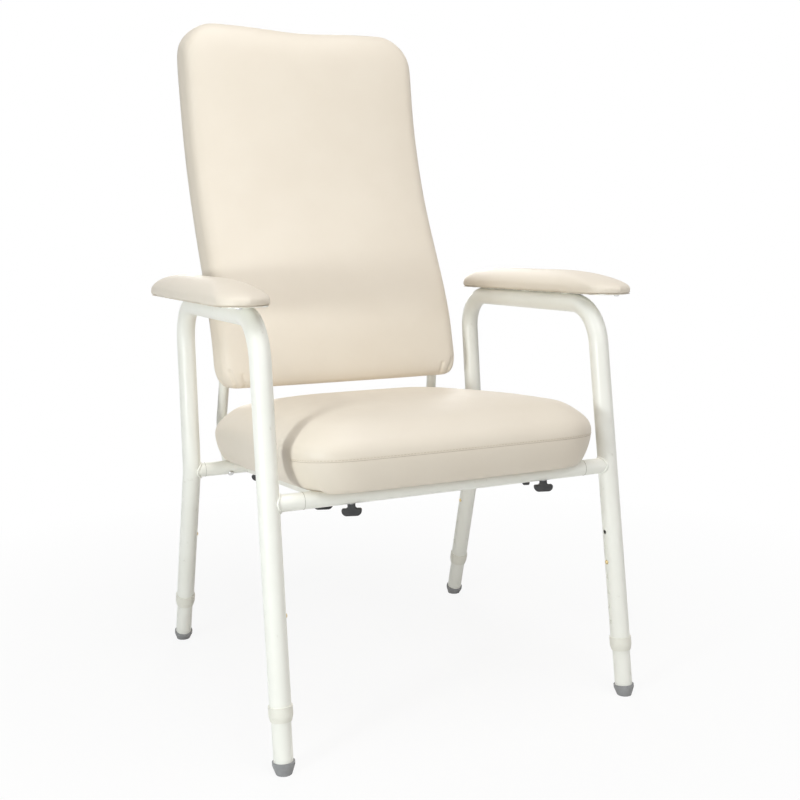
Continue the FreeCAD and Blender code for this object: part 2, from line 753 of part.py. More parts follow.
def foot_line(side):
    """Rear rail axis point and direction of an upright's foot."""
    rail_point, bow = upright_points(side)[:2]
    return rail_point, (bow - rail_point).normalize()


def bolt_line(side):
    """Rear rail axis point and direction of a bolt, square to the rail."""
    start, up = foot_line(side)
    return start, Vector(0, up.y, up.z).normalize()


def bolt_bore(side):
    start, up = bolt_line(side)
    return rod(BOLT_DIAMETER + 2 * BOLT_PLAY, start - up * RAIL_OD, start + up * RAIL_OD / 2)


def bolt_length():
    return RAIL_OD + BOLT_IN_PLUG


def upright_plugs():
    """Solid plugs in the feet of the uprights, tapped for the bolts."""
    plugs = []
    for _, side in SIDES:
        start, up = foot_line(side)
        plug = rod(UPRIGHT_OD - 2 * UPRIGHT_WALL - 2 * PLUG_PLAY, start, start + up * PLUG_LENGTH)
        _, bolt_up = bolt_line(side)
        shank = rod(BOLT_DIAMETER, start, start + bolt_up * (bolt_length() - RAIL_OD / 2))
        plugs.append(plug.cut(rail_solid()).cut(shank))
    return Part.makeCompound(plugs)


def upright_bolts():
    """Round-head bolts through the rear rail into the feet of the uprights."""
    bolts = []
    for _, side in SIDES:
        start, up = bolt_line(side)
        under = start - up * RAIL_OD / 2
        head = Part.makeCylinder(BOLT_HEAD / 2, BOLT_HEAD_RISE, under, up * -1)
        head = head.makeFillet(BOLT_HEAD_ROUND, [edge_at(head, under - up * BOLT_HEAD_RISE)])
        bolts.append(union([head, rod(BOLT_DIAMETER, under, under + up * bolt_length())]))
    return Part.makeCompound(bolts)


def clip_frames():
    """Side, tube centre, and across, outward and along directions, of each tube clip."""
    frames = []
    for z, line in zip(CLIP_LEVELS, back_lines(UPRIGHT_DEPTH)[1:]):
        outward = Vector(0, cos(line[2]), -sin(line[2]))
        for _, side in SIDES:
            centre = Vector(upright_x(side, z), y_on_line(line, z), z)
            above = Vector(upright_x(side, z + 1), y_on_line(line, z + 1), z + 1)
            along = (above - centre).normalize()
            frames.append((side, centre, outward.cross(along), outward, along))
    return frames


def tube_clip(side, centre, across, outward, along):
    """Strap over an upright, with one flange towards the middle of the backrest."""
    bore = UPRIGHT_OD / 2 + CLIP_PLAY
    height = UPRIGHT_OD / 2 + UPRIGHT_GAP

    def saddle(radius, base):
        wall = Part.makeBox(2 * radius, height - base, CLIP_WIDTH, Vector(-radius, base - height, 0))
        return union([wall, Part.makeCylinder(radius, CLIP_WIDTH)])

    inner_end = -CLIP_REACH if side > 0 else 0.0
    flange = Part.makeBox(CLIP_REACH, CLIP_THICK, CLIP_WIDTH, Vector(inner_end, -height, 0))
    clip = union([saddle(bore + CLIP_THICK, 0.0), flange]).cut(saddle(bore, -CLIP_THICK))
    turn = Rotation(across, outward, along, "ZXY")
    return moved(clip, Placement(centre - along * CLIP_WIDTH / 2, turn))


def back_clips():
    clips = []
    for frame, (seat, inward) in zip(clip_frames(), clip_screw_seats()):
        clips.append(tube_clip(*frame).cut(screw_hole(seat, inward)))
    return Part.makeCompound(clips)


def clip_screw_seats():
    """Point on a clip's flange and inward direction of each clip screw."""
    drop = UPRIGHT_OD / 2 + UPRIGHT_GAP - CLIP_THICK
    seats = []
    for side, centre, across, outward, _ in clip_frames():
        seats.append((centre - across * side * CLIP_SCREW_AT - outward * drop, outward * -1))
    return seats


def back_clip_screws():
    return Part.makeCompound([pan_screw(seat, inward) for seat, inward in clip_screw_seats()])


# Arm rests

def pad_outline(side, rise, inset, front_inset, rear_inset):
    """Outline drawn in at the sides, the front and the rear, at a rise above the strip."""
    half_width = PAD_HALF_WIDTH - inset
    front = PAD_MIDDLE_Y - PAD_LENGTH / 2 + front_inset
    rear = PAD_MIDDLE_Y + PAD_LENGTH / 2 - rear_inset
    corner = PAD_CORNER * half_width / PAD_HALF_WIDTH
    wire = outline(half_width, front, rear, corner, corner, PAD_LEVEL + rise, PAD_BOW, PAD_BOW)
    wire.translate(X_AXIS * side * (ARM_SPACING / 2 + PAD_OUTBOARD))
    return wire


def arm_board_blank(side):
    wire = pad_outline(side, 0.0, PAD_BOARD_INSET, PAD_BOARD_INSET, PAD_BOARD_INSET)
    return Part.Face(wire).extrude(Z_AXIS * PAD_BOARD_THICK)


def arm_screw_seats(side):
    x = side * (ARM_SPACING / 2 + ARM_SCREW_OUTBOARD)
    first = PAD_MIDDLE_Y - ARM_SCREW_PITCH * (ARM_SCREW_COUNT - 1) / 2
    return [Vector(x, first + step * ARM_SCREW_PITCH, STRIP_LEVEL) for step in range(ARM_SCREW_COUNT)]


def arm_screw_holes(side):
    return union([screw_hole(seat, Z_AXIS) for seat in arm_screw_seats(side)])


def arm_board(side):
    return on_arm(arm_board_blank(side).cut(arm_screw_holes(side)))


def arm_pad(side):
    """Domed across, and sloping down gently towards its front end."""
    wires = []
    for rise, share in low_levels(PAD_EDGE_RISE, PAD_LOW_FULLNESS):
        inset = PAD_LOW_INSET * share
        wires.append(pad_outline(side, rise, inset, inset, inset))
    for rise, share in top_levels(PAD_EDGE_RISE, PAD_CROWN_RISE, PAD_FULLNESS):
        wires.append(pad_outline(side, rise, PAD_SIDE_SLOPE * share, PAD_FRONT_SLOPE * share,
                                 PAD_REAR_SLOPE * share))
    return on_arm(banded_loft(wires).cut(arm_board_blank(side)))


def arm_strip(side):
    """Flat steel strip on top of the arm tube, which carries the pad outboard of it."""
    middle = side * ARM_SPACING / 2
    inner = middle - side * STRIP_INBOARD
    outer = middle + side * STRIP_OUTBOARD
    strip = Part.makeBox(abs(outer - inner), STRIP_LENGTH, STRIP_THICK,
                         Vector(min(inner, outer), PAD_MIDDLE_Y - STRIP_LENGTH / 2, STRIP_LEVEL))
    upright = [edge for edge in strip.Edges if edge.BoundBox.ZLength > STRIP_THICK / 2]
    return on_arm(strip.makeFillet(STRIP_CORNER, upright).cut(arm_screw_holes(side)))


def arm_screws():
    seats = [seat for _, side in SIDES for seat in arm_screw_seats(side)]
    return on_arm(Part.makeCompound([pan_screw(seat, Z_AXIS) for seat in seats]))


# Telescopic legs

def leg_extension(leg):
    button = leg.along(BUTTON_HEIGHT)
    low = Vector(0, 0, TIP_SOLE)
    top = Vector(0, 0, button + EXTENSION_ABOVE_BUTTON)
    tube = rod(EXTENSION_OD, low, top).cut(rod(EXTENSION_OD - 2 * EXTENSION_WALL, low, top))
    start = Vector(0, 0, button)
    return leg.place(tube.cut(rod(HOLE_DIAMETER, start, start - X_AXIS * leg.side * LEG_OD)))


def leg_collar(leg):
    """Moulded ferrule on the end of the outer tube, which guides the inner one."""
    centre = leg.along(COLLAR_HEIGHT)
    low = centre - (COLLAR_BAND + COLLAR_TAPER) / 2
    step = low + COLLAR_TAPER
    top = step + COLLAR_BAND
    outer_end = leg.along(COLLAR_HEIGHT - COLLAR_BAND / 2 + COLLAR_TAPER / 2)
    band = rod(COLLAR_OD, Vector(0, 0, step), Vector(0, 0, top))
    taper = Part.makeCone(COLLAR_LOW_OD / 2, COLLAR_OD / 2, COLLAR_TAPER, Vector(0, 0, low))
    guide = rod(EXTENSION_OD + 2 * COLLAR_FIT, Vector(0, 0, low), Vector(0, 0, top))
    seat = rod(LEG_OD + 2 * COLLAR_FIT, Vector(0, 0, outer_end), Vector(0, 0, top))
    return leg.place(union([band, taper]).cut(guide).cut(seat))


def foot_tip(leg):
    """Rubber cup on the inner tube, cut level with the floor."""
    rim_low = TIP_HEIGHT - TIP_RIM
    slope = (TIP_RIM_OD - TIP_LOW_OD) / 2 / rim_low
    cone = Part.makeCone(TIP_LOW_OD / 2 - slope * TIP_TRIM, TIP_RIM_OD / 2, rim_low + TIP_TRIM,
                         Vector(0, 0, -TIP_TRIM))
    rim = rod(TIP_RIM_OD, Vector(0, 0, rim_low), Vector(0, 0, TIP_HEIGHT))
    socket = rod(EXTENSION_OD + 2 * TIP_FIT, Vector(0, 0, TIP_SOLE), Vector(0, 0, TIP_HEIGHT))
    tip = leg.place(union([cone, rim]).cut(socket))
    box = tip.BoundBox
    ground = Part.makeBox(box.XLength, box.YLength, -box.ZMin, Vector(box.XMin, box.YMin, box.ZMin))
    return tip.cut(ground)


def snap_button(leg):
    """Locating button with a flange that rests inside the inner tube."""
    inward = X_AXIS * -leg.side
    bore = EXTENSION_OD / 2 - EXTENSION_WALL
    centre = Vector(0, 0, leg.along(BUTTON_HEIGHT))
    flange_face = centre + inward * (bore - flange_sag())
    flange = rod(BUTTON_FLANGE, flange_face - inward * BUTTON_FLANGE_THICK, flange_face)
    end = centre + inward * (LEG_OD / 2 + BUTTON_PROUD)
    shank = rod(BUTTON_DIAMETER, flange_face, end)
    shank = shank.makeFillet(BUTTON_ROUND, [edge_at(shank, end)])
    return leg.place(union([flange, shank]))


def flange_sag():
    """How far a flat button flange stands off the round bore, with a small gap."""
    bore = EXTENSION_OD / 2 - EXTENSION_WALL
    return bore - math.sqrt(bore ** 2 - (BUTTON_FLANGE / 2) ** 2) + EXTENSION_PLAY


def button_spring(leg):
    """Leaf that carries the button inside the inner tube."""
    inward = X_AXIS * -leg.side
    bore = EXTENSION_OD / 2 - EXTENSION_WALL
    button = leg.along(BUTTON_HEIGHT)
    outer = (bore - flange_sag() - BUTTON_FLANGE_THICK) * -leg.side
    inner = outer + leg.side * SPRING_THICK
    leaf = Part.makeBox(SPRING_THICK, SPRING_WIDTH, SPRING_LENGTH,
                        Vector(min(inner, outer), -SPRING_WIDTH / 2, button - BUTTON_FLANGE / 2))
    rivet = Vector(inner, 0, button + SPRING_RIVET_RISE)
    rivet_length = SPRING_THICK + BUTTON_FLANGE_THICK
    return leg.place(union([leaf, rod(SPRING_RIVET, rivet, rivet + inward * rivet_length)]))


def build_nodes():
    nodes = {"front_rail": rail(0.0, FRONT_RAIL_END), "rear_rail": rear_rail(), "back_frame": back_frame(),
             "upright_plugs": upright_plugs(), "upright_bolts": upright_bolts(),
             "seat_board": seat_board(), "seat_nuts": seat_nuts(), "seat_cushion": seat_cushion(),
             "backrest_board": backrest_board(), "backrest_cushion": backrest_cushion(),
             "backrest_rear_panel": backrest_rear_panel(), "back_clips": back_clips(),
             "back_clip_screws": back_clip_screws(), "arm_screws": arm_screws()}
    for name, side in SIDES:
        nodes["side_frame_" + name] = side_frame(side)
        nodes["seat_bar_" + name] = seat_bar(side)
        nodes["arm_strip_" + name] = arm_strip(side)
        nodes["arm_board_" + name] = arm_board(side)
        nodes["arm_pad_" + name] = arm_pad(side)
    for leg in LEGS:
        nodes["leg_extension_" + leg.name] = leg_extension(leg)
        nodes["leg_collar_" + leg.name] = leg_collar(leg)
        nodes["foot_tip_" + leg.name] = foot_tip(leg)
        nodes["snap_button_" + leg.name] = snap_button(leg)
        nodes["button_spring_" + leg.name] = button_spring(leg)
    for name, across, back, depth in knob_places():
        nodes["knob_" + name] = knob(across, back, depth, KNOB_TURNS[name])
        nodes["knob_stud_" + name] = knob_stud(across, back, depth)
    return nodes


def main():
    nodes = build_nodes()
    box = Part.makeCompound(list(nodes.values())).optimalBoundingBox(False, False)
    middle = (box.YMin + box.YMax) / 2
    print("footprint middle %.3f, box %.2f x %.2f x %.2f, lowest %.4f"
          % (middle, box.XLength, box.YLength, box.ZLength, box.ZMin))
    os.makedirs("parts", exist_ok=True)
    for name, shape in nodes.items():
        centred = moved(shape, Placement(Vector(0, -middle, 0), Rotation()))
        centred.exportStep("parts/" + name + ".step")


main()
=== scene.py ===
import json
import math

import bmesh
import bpy
import numpy as np
from mathutils import Matrix, Vector
from mathutils.bvhtree import BVHTree

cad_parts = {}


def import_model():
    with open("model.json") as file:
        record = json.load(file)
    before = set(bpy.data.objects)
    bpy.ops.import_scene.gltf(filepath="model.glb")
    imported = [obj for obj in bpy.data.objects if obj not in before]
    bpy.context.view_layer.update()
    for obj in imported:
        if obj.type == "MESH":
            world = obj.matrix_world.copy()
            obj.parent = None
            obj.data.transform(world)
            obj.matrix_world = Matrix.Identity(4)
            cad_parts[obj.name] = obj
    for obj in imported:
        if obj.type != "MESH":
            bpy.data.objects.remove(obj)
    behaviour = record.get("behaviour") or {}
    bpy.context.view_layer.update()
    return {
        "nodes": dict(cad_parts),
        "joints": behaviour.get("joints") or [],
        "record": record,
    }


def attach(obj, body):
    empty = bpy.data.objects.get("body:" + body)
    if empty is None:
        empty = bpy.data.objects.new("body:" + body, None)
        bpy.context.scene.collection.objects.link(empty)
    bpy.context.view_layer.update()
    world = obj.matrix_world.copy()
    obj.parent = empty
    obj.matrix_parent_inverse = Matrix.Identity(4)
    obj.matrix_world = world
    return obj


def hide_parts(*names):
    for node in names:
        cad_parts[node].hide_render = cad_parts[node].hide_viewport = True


# Looks of a patient rest chair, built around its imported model.
# Metres, +Z up, the chair faces -Y.

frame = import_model()
NODES = frame["nodes"]
JOINTS = {joint["name"]: joint for joint in frame["joints"]}
SIDES = (("left", -1), ("right", 1))
X_AXIS = Vector((1, 0, 0))
Y_AXIS = Vector((0, 1, 0))

# Photograph's camera
CAMERA_PLACE = Vector((-0.7322, -1.6998, 0.7247))
CAMERA_YAW = math.radians(25.04)
CAMERA_PITCH = math.radians(7.75)
CAMERA_ROLL = math.radians(-0.9)
CAMERA_LENS = 46.76

# Seat plane, from the front rail's axis to the rear rail's
SEAT_ORIGIN = Vector(JOINTS["knob_turn_front_left"]["pos_m"])
SEAT_ORIGIN.x = 0
REAR_RAIL = Vector(JOINTS["knob_turn_rear_left"]["pos_m"])
REAR_RAIL.x = 0
SEAT_BACK = (REAR_RAIL - SEAT_ORIGIN).normalized()
SEAT_UP = X_AXIS.cross(SEAT_BACK)
SEAT_RUN = (REAR_RAIL - SEAT_ORIGIN).length
RAIL_RADIUS = 0.0127

# Seat board and cushion, with levels measured up from the rails' axes
BOARD_LEVEL = 0.0128
BOARD_THICK = 0.012
BOARD_CORNER = 0.045
SEAT_VOXEL = 0.0055
SEAT_SHRINK = 0.004
SEAT_SWELLING = {"pressure": 4.0, "swell": 0.0058, "crease": 0.12}
SEAT_HELD = (BOARD_LEVEL + 0.002, BOARD_LEVEL + 0.009)
SEAT_WRAP = 0.010
SEAT_POCKET_CORNER = 0.035
SEAT_POCKET_REACH = 0.004
RIM_LEVEL = 0.055
RIM_FULLNESS = 0.0135
RIM_HALF_HEIGHT = 0.042
RIM_SMOOTH_HEIGHT = 0.034
RIM_SMOOTH_ROUNDS = 90

# Front of the seat cushion and its seam
SEAT_SEAM_LEVEL = 0.0582
SEAM_END_BACK = 0.012
SEAM_STEPS = 240
SEAM_SPACING = 0.002
SEAM_DEPTH = 0.0005
SEAM_WIDTH = 0.0024
SEAM_RADIUS = 0.00032
FRONT_SAG = 0.0045
SAG_BACK = (-RAIL_RADIUS - 0.012, -RAIL_RADIUS - 0.003)
SAG_LEVELS = (BOARD_LEVEL, SEAT_SEAM_LEVEL - 0.006)

# Gathers along the seat's seam
PUCKER_DEPTH = 0.0004
PUCKER_LEAST = 0.2
PUCKER_REACH = 0.012
PUCKER_START = 0.003
PUCKER_BAND = 0.04
PUCKER_TURN = 0.62
PUCKER_TURN_WIDTH = 0.14
PUCKER_FADE = (0.85, 1.0)
PUCKER_STEP = 0.47
PUCKER_PHASE = 0.7
BLOCK_POINTS = 4000

# Stitches above the seam, with (share of length, share of radius) points of one stitch
STITCH_OFFSET = 0.0026
STITCH_PITCH = 0.0052
STITCH_LENGTH = 0.0040
STITCH_RADIUS = 0.00036
STITCH_THIN = 0.7
STITCH_LINE = ((-0.5, -1.2), (-0.32, 0.5), (0.0, 1.0), (0.32, 0.5), (0.5, -1.2))

# Backrest cushion, with (inset, lean, length) of each corner pleat
BACK_VOXEL = 0.0055
BACK_SHRINK = 0.0005
BACK_SWELLING = {"pressure": 3.0, "swell": 0.0042, "crease": 0.10}
BACK_HELD = (0.040, 0.056)
BACK_END_INSET = 0.004
BACK_LEVELS = 120
TOP_FULLNESS = 0.0045
TOP_DIP = 0.0070
TOP_DIP_WIDTH = 0.090
TOP_CORNER = (0.165, 0.235)
TOP_CORNER_DROP = 0.0085
TOP_BAND = (0.075, 0.010)
PLEATS = ((0.030, 0.45, 0.030), (0.046, 0.25, 0.022), (0.016, 0.80, 0.024))
PLEAT_STEPS = 15
PLEAT_SPACING = 0.001
PLEAT_DEPTH = 0.0026
PLEAT_WIDTH = 0.0028

# Arm pads
ARM_TUBE_X = 0.2894
ARM_BOARD_THICK = 0.009
ARM_VOXEL = 0.004
ARM_SHRINK = 0.002
ARM_SWELLING = {"pressure": 4.0, "swell": 0.0028, "crease": 0.12}
ARM_HELD = (0.001, 0.005)
ARM_WRAP = 0.006
ARM_POCKET_REACH = 0.003
STRIP_MARGIN = 0.001

# All covers
COVER_GAP = 0.0004
LIGHT_ROUNDS = 4
HELD_GRIP = 0.8
SMOOTH_STEP = 0.5
EVEN_ROUNDS = 40
SWELL_PERCENTILE = 75
LEAST_SWELL = -0.3
MOST_SWELL = 1.6
WELD_DISTANCE = 1e-6

# Cover edges under the boards and their staples, with (share of length, sink) points of one staple
SEAT_EDGE_WIDTH = 0.019
SEAT_EDGE_INSET = 0.0006
SEAT_EDGE_THICK = 0.0008
SEAT_EDGE_SPACING = 0.006
SEAT_STAPLE_STEP = 6
ARM_EDGE_WIDTH = 0.012
ARM_EDGE_OUT = 0.004
ARM_EDGE_THICK = 0.0009
ARM_EDGE_SPACING = 0.004
ARM_STAPLE_STEP = 7
PRESSED_THICK = 0.00006
RAIL_MARGIN = 0.003
CORNER_STEPS = 12
EDGE_SHARES = (0.0, 0.25, 0.5, 0.75, 1.0)
EDGE_UNEVEN = 0.10
EDGE_CRINKLE = 0.5
STAPLE_LEAST_ROOM = 0.0003
STAPLE_HALF = 0.0055
STAPLE_RADIUS = 0.00045
STAPLE_LINE = ((-1, 0.0), (-1, 0.0006), (-0.85, 0.0009), (0.85, 0.0009), (1, 0.0006), (1, 0.0))

# Welds, joint lines, screw cross slots as marks of painted shade, and softened edges
RAIL_BEAD = 0.0019
RAIL_BEAD_OUT = 0.0004
BEAD_STEPS = 48
BEAD_SPACING = 0.0011
BEAD_SINK = 0.3
BEAD_RIPPLE = 0.16
JOINT_LINE = 0.00032
JOINT_STEPS = 40
ARM_BEADS = (-0.125, 0.0, 0.125)
ARM_BEAD = 0.0013
ARM_BEAD_OFFSET = 0.0062
ARM_BEAD_SINK = 0.0005
ARM_BEAD_STEPS = 13
ARM_BEAD_STEP = 0.0018
RECESS_HALVES = (0.0021, 0.00045, 0.00008)
SCREW_FACE_DEPTH = 0.00005
SOFT_EDGES = {"leg_collar": 0.0008, "foot_tip": 0.0010, "arm_strip": 0.0005, "seat_bar": 0.0008,
              "backrest_rear": 0.0010, "back_clips": 0.0004}
SOFT_EDGE_ANGLE = math.radians(35)

# Colours of the vinyl and of the frame's paint with its scuffs
VINYL_LIGHT = (0.800, 0.722, 0.612)
VINYL_DARK = (0.784, 0.704, 0.593)
PAINT_LIGHT = (0.935, 0.930, 0.865)
PAINT_DARK = (0.910, 0.905, 0.835)
SCUFF = (0.66, 0.64, 0.56)
SCUFF_SHARE = (0.4, 0.4, 0.4)
BLACK = (0, 0, 0)

# Lights, each with its name, place, size, power and colour
WHITE_LIGHT = (1.0, 1.0, 1.0)
COOL_LIGHT = (0.94, 1.0, 1.02)
LIGHT_TARGET = Vector((0, -0.1, 0.52))
LIGHTS = (
    ("low_left", (-1.75, -1.10, 0.62), 0.26, 13.0, COOL_LIGHT),
    ("high_left", (-1.70, -0.95, 1.95), 0.60, 8.0, COOL_LIGHT),
    ("top", (0.1, -0.7, 2.9), 1.6, 30.0, WHITE_LIGHT),
    ("fill", (1.2, -2.4, 1.3), 1.4, 5.0, WHITE_LIGHT),
    ("front", (0.0, -2.6, 2.35), 1.2, 16.5, WHITE_LIGHT),
    ("rear", (0.9, 2.7, 1.5), 1.6, 24.0, WHITE_LIGHT),
)


def link(piece):
    bpy.context.scene.collection.objects.link(piece)
    return piece


def mesh_piece(name, vertices, faces, smooth=True):
    mesh = bpy.data.meshes.new(name)
    mesh.from_pydata([tuple(v) for v in vertices], [], faces)
    mesh.update()
    if smooth:
        mesh.shade_smooth()
    return link(bpy.data.objects.new(name, mesh))


class Shapes:
    """Vertices and faces of several small closed shapes that make one piece."""

    def __init__(self):
        self.vertices = []
        self.faces = []

    def add(self, vertices, faces):
        first = len(self.vertices)
        self.vertices += [Vector(v) for v in vertices]
        self.faces += [[first + index for index in face] for face in faces]

    def tube(self, points, radii, sides=8, closed=False):
        """Round tube along points, closed on itself or with shut ends."""
        count = len(points)
        rings = []
        normal = None
        for step, point in enumerate(points):
            after = points[(step + 1) % count] if closed or step + 1 < count else point
            before = points[step - 1] if closed or step > 0 else point
            along = (after - before).normalized()
            if normal is None:
                normal = along.orthogonal().normalized()
            normal = (normal - along * normal.dot(along)).normalized()
            across = along.cross(normal)
            radius = radii[step] if hasattr(radii, "__len__") else radii
            turns = [2 * math.pi * side / sides for side in range(sides)]
            rings.append([point + (normal * math.cos(t) + across * math.sin(t)) * radius for t in turns])
        faces = []
        for step in range(count if closed else count - 1):
            low, high = step * sides, (step + 1) % count * sides
            for side in range(sides):
                nxt = (side + 1) % sides
                faces.append([low + side, low + nxt, high + nxt, high + side])
        if not closed:
            faces.append(list(range(sides))[::-1])
            faces.append([(count - 1) * sides + side for side in range(sides)])
        self.add([v for ring in rings for v in ring], faces)

    def box(self, centre, axes, halves):
        """Block with the given half sizes along three axes."""
        corners = []
        for k in (-1, 1):
            for j in (-1, 1):
                for i in (-1, 1):
                    corners.append(centre + axes[0] * i * halves[0] + axes[1] * j * halves[1]
                                   + axes[2] * k * halves[2])
        faces = [[0, 2, 3, 1], [4, 5, 7, 6], [0, 1, 5, 4], [2, 6, 7, 3], [0, 4, 6, 2], [1, 3, 7, 5]]
        self.add(corners, faces)

    def piece(self, name, smooth=True):
        return mesh_piece(name, self.vertices, self.faces, smooth)


# Materials

def shader(name, roughness, metallic=0.0, specular=0.5):
    material = bpy.data.materials.new(name)
    material.use_nodes = True
    tree = material.node_tree
    surface = tree.nodes["Principled BSDF"]
    surface.inputs["Roughness"].default_value = roughness
    surface.inputs["Metallic"].default_value = metallic
    surface.inputs["Specular IOR Level"].default_value = specular
    return material, tree, surface


def place(tree, stretch=(1, 1, 1)):
    """Coordinates in metres that stay on the object, stretched along its axes."""
    source = tree.nodes.new("ShaderNodeTexCoord")
    mapping = tree.nodes.new("ShaderNodeMapping")
    mapping.inputs["Scale"].default_value = stretch
    tree.links.new(source.outputs["Object"], mapping.inputs["Vector"])
    return mapping.outputs["Vector"]


def noise_texture(tree, vector, scale, detail=2.0, roughness=0.5):
    texture = tree.nodes.new("ShaderNodeTexNoise")
    texture.inputs["Scale"].default_value = scale
    texture.inputs["Detail"].default_value = detail
    texture.inputs["Roughness"].default_value = roughness
    tree.links.new(vector, texture.inputs["Vector"])
    return texture.outputs["Fac"]


def cells(tree, vector, scale):
    texture = tree.nodes.new("ShaderNodeTexVoronoi")
    texture.feature = "DISTANCE_TO_EDGE"
    texture.inputs["Scale"].default_value = scale
    tree.links.new(vector, texture.inputs["Vector"])
    return texture.outputs["Distance"]


def ramp(tree, value, stops):
    """Colour ramp with (position, colour) stops."""
    node = tree.nodes.new("ShaderNodeValToRGB")
    elements = node.color_ramp.elements
    while len(elements) < len(stops):
        elements.new(0.5)
    for element, (position, colour) in zip(elements, stops):
        element.position = position
        element.color = (*colour, 1)
    tree.links.new(value, node.inputs["Fac"])
    return node.outputs["Color"]


def spread(tree, value, low, high):
    """Value from 0 to 1 mapped to a range."""
    node = tree.nodes.new("ShaderNodeMapRange")
    node.inputs["To Min"].default_value = low
    node.inputs["To Max"].default_value = high
    tree.links.new(value, node.inputs["Value"])
    return node.outputs["Result"]


def mixed(tree, factor, first, second):
    """Blend from one colour output to a plain second colour."""
    node = tree.nodes.new("ShaderNodeMix")
    node.data_type = "RGBA"
    tree.links.new(factor, node.inputs[0])
    tree.links.new(first, node.inputs[6])
    node.inputs[7].default_value = (*second, 1)
    return node.outputs[2]


def bump(tree, surface, heights):
    """Chain of (height output, distance, strength) bumps into the surface's normal."""
    normal = None
    for height, distance, strength in heights:
        node = tree.nodes.new("ShaderNodeBump")
        node.inputs["Distance"].default_value = distance
        node.inputs["Strength"].default_value = strength
        tree.links.new(height, node.inputs["Height"])
        if normal is not None:
            tree.links.new(normal, node.inputs["Normal"])
        normal = node.outputs["Normal"]
    tree.links.new(normal, surface.inputs["Normal"])


def vinyl():
    """Upholstery vinyl with a fine leather grain."""
    material, tree, surface = shader("vinyl", 0.46, specular=0.42)
    vector = place(tree)
    broad = noise_texture(tree, vector, scale=11.0, detail=3.0)
    patches = noise_texture(tree, vector, scale=46.0, detail=4.0)
    grain = cells(tree, vector, scale=620.0)
    fine = noise_texture(tree, vector, scale=1900.0)
    colour = ramp(tree, broad, ((0.34, VINYL_DARK), (0.66, VINYL_LIGHT)))
    tree.links.new(colour, surface.inputs["Base Color"])
    tree.links.new(spread(tree, patches, low=0.40, high=0.54), surface.inputs["Roughness"])
    bump(tree, surface, ((grain, 0.00030, 0.22), (fine, 0.00015, 0.16)))
    surface.inputs["Coat Weight"].default_value = 0.06
    surface.inputs["Coat Roughness"].default_value = 0.35
    return material


def powder_coat():
    """Cream powder coat with a faint orange peel and a few dull scuffs."""
    material, tree, surface = shader("frame_paint", 0.33)
    vector = place(tree)
    peel = noise_texture(tree, vector, scale=780.0, detail=1.5)
    broad = noise_texture(tree, vector, scale=17.0, detail=3.0)
    specks = noise_texture(tree, vector, scale=64.0, detail=6.0, roughness=0.62)
    patches = noise_texture(tree, vector, scale=90.0, detail=5.0)
    colour = ramp(tree, broad, ((0.30, PAINT_DARK), (0.70, PAINT_LIGHT)))
    scuff = ramp(tree, specks, ((0.655, BLACK), (0.72, SCUFF_SHARE)))
    tree.links.new(mixed(tree, scuff, colour, SCUFF), surface.inputs["Base Color"])
    tree.links.new(spread(tree, patches, low=0.26, high=0.42), surface.inputs["Roughness"])
    bump(tree, surface, ((peel, 0.00012, 0.30),))
    return material


def moulded(name, light, dark, roughness, grain_scale, grain_depth):
    """Moulded plastic or rubber with a fine surface texture and slight mottling."""
    material, tree, surface = shader(name, roughness, specular=0.4)
    vector = place(tree)
    mottle = noise_texture(tree, vector, scale=60.0, detail=4.0)
    tree.links.new(ramp(tree, mottle, ((0.32, dark), (0.68, light))), surface.inputs["Base Color"])
    spots = noise_texture(tree, vector, scale=210.0, detail=3.0)
    grain = noise_texture(tree, vector, grain_scale)
    tree.links.new(spread(tree, spots, roughness - 0.08, roughness + 0.08), surface.inputs["Roughness"])
    bump(tree, surface, ((grain, grain_depth, 0.35),))
    return material


def metal(name, light, dark, roughness):
    """Plated metal with cloudy colour and fine scratches."""
    material, tree, surface = shader(name, roughness, metallic=1.0)
    vector = place(tree)
    cloud = noise_texture(tree, vector, scale=130.0, detail=4.0)
    tree.links.new(ramp(tree, cloud, ((0.30, dark), (0.70, light))), surface.inputs["Base Color"])
    scratch = noise_texture(tree, place(tree, (300.0, 300.0, 2400.0)), scale=1.0, detail=3.0)
    tree.links.new(spread(tree, scratch, roughness - 0.10, roughness + 0.12), surface.inputs["Roughness"])
    bump(tree, surface, ((scratch, 0.00005, 0.2),))
    return material


def plywood():
    """Bare plywood with grain that runs from front to back."""
    material, tree, surface = shader("plywood", 0.62, specular=0.3)
    vector = place(tree, (22.0, 1.6, 22.0))
    grain = noise_texture(tree, vector, scale=3.0, detail=6.0, roughness=0.62)
    pores = noise_texture(tree, place(tree, (420.0, 26.0, 420.0)), scale=1.0, detail=3.0)
    colour = ramp(tree, grain, ((0.28, (0.40, 0.26, 0.135)), (0.50, (0.60, 0.43, 0.255)),
                                (0.74, (0.69, 0.53, 0.34))))
    tree.links.new(colour, surface.inputs["Base Color"])
    bump(tree, surface, ((pores, 0.0003, 0.4),))
    return material


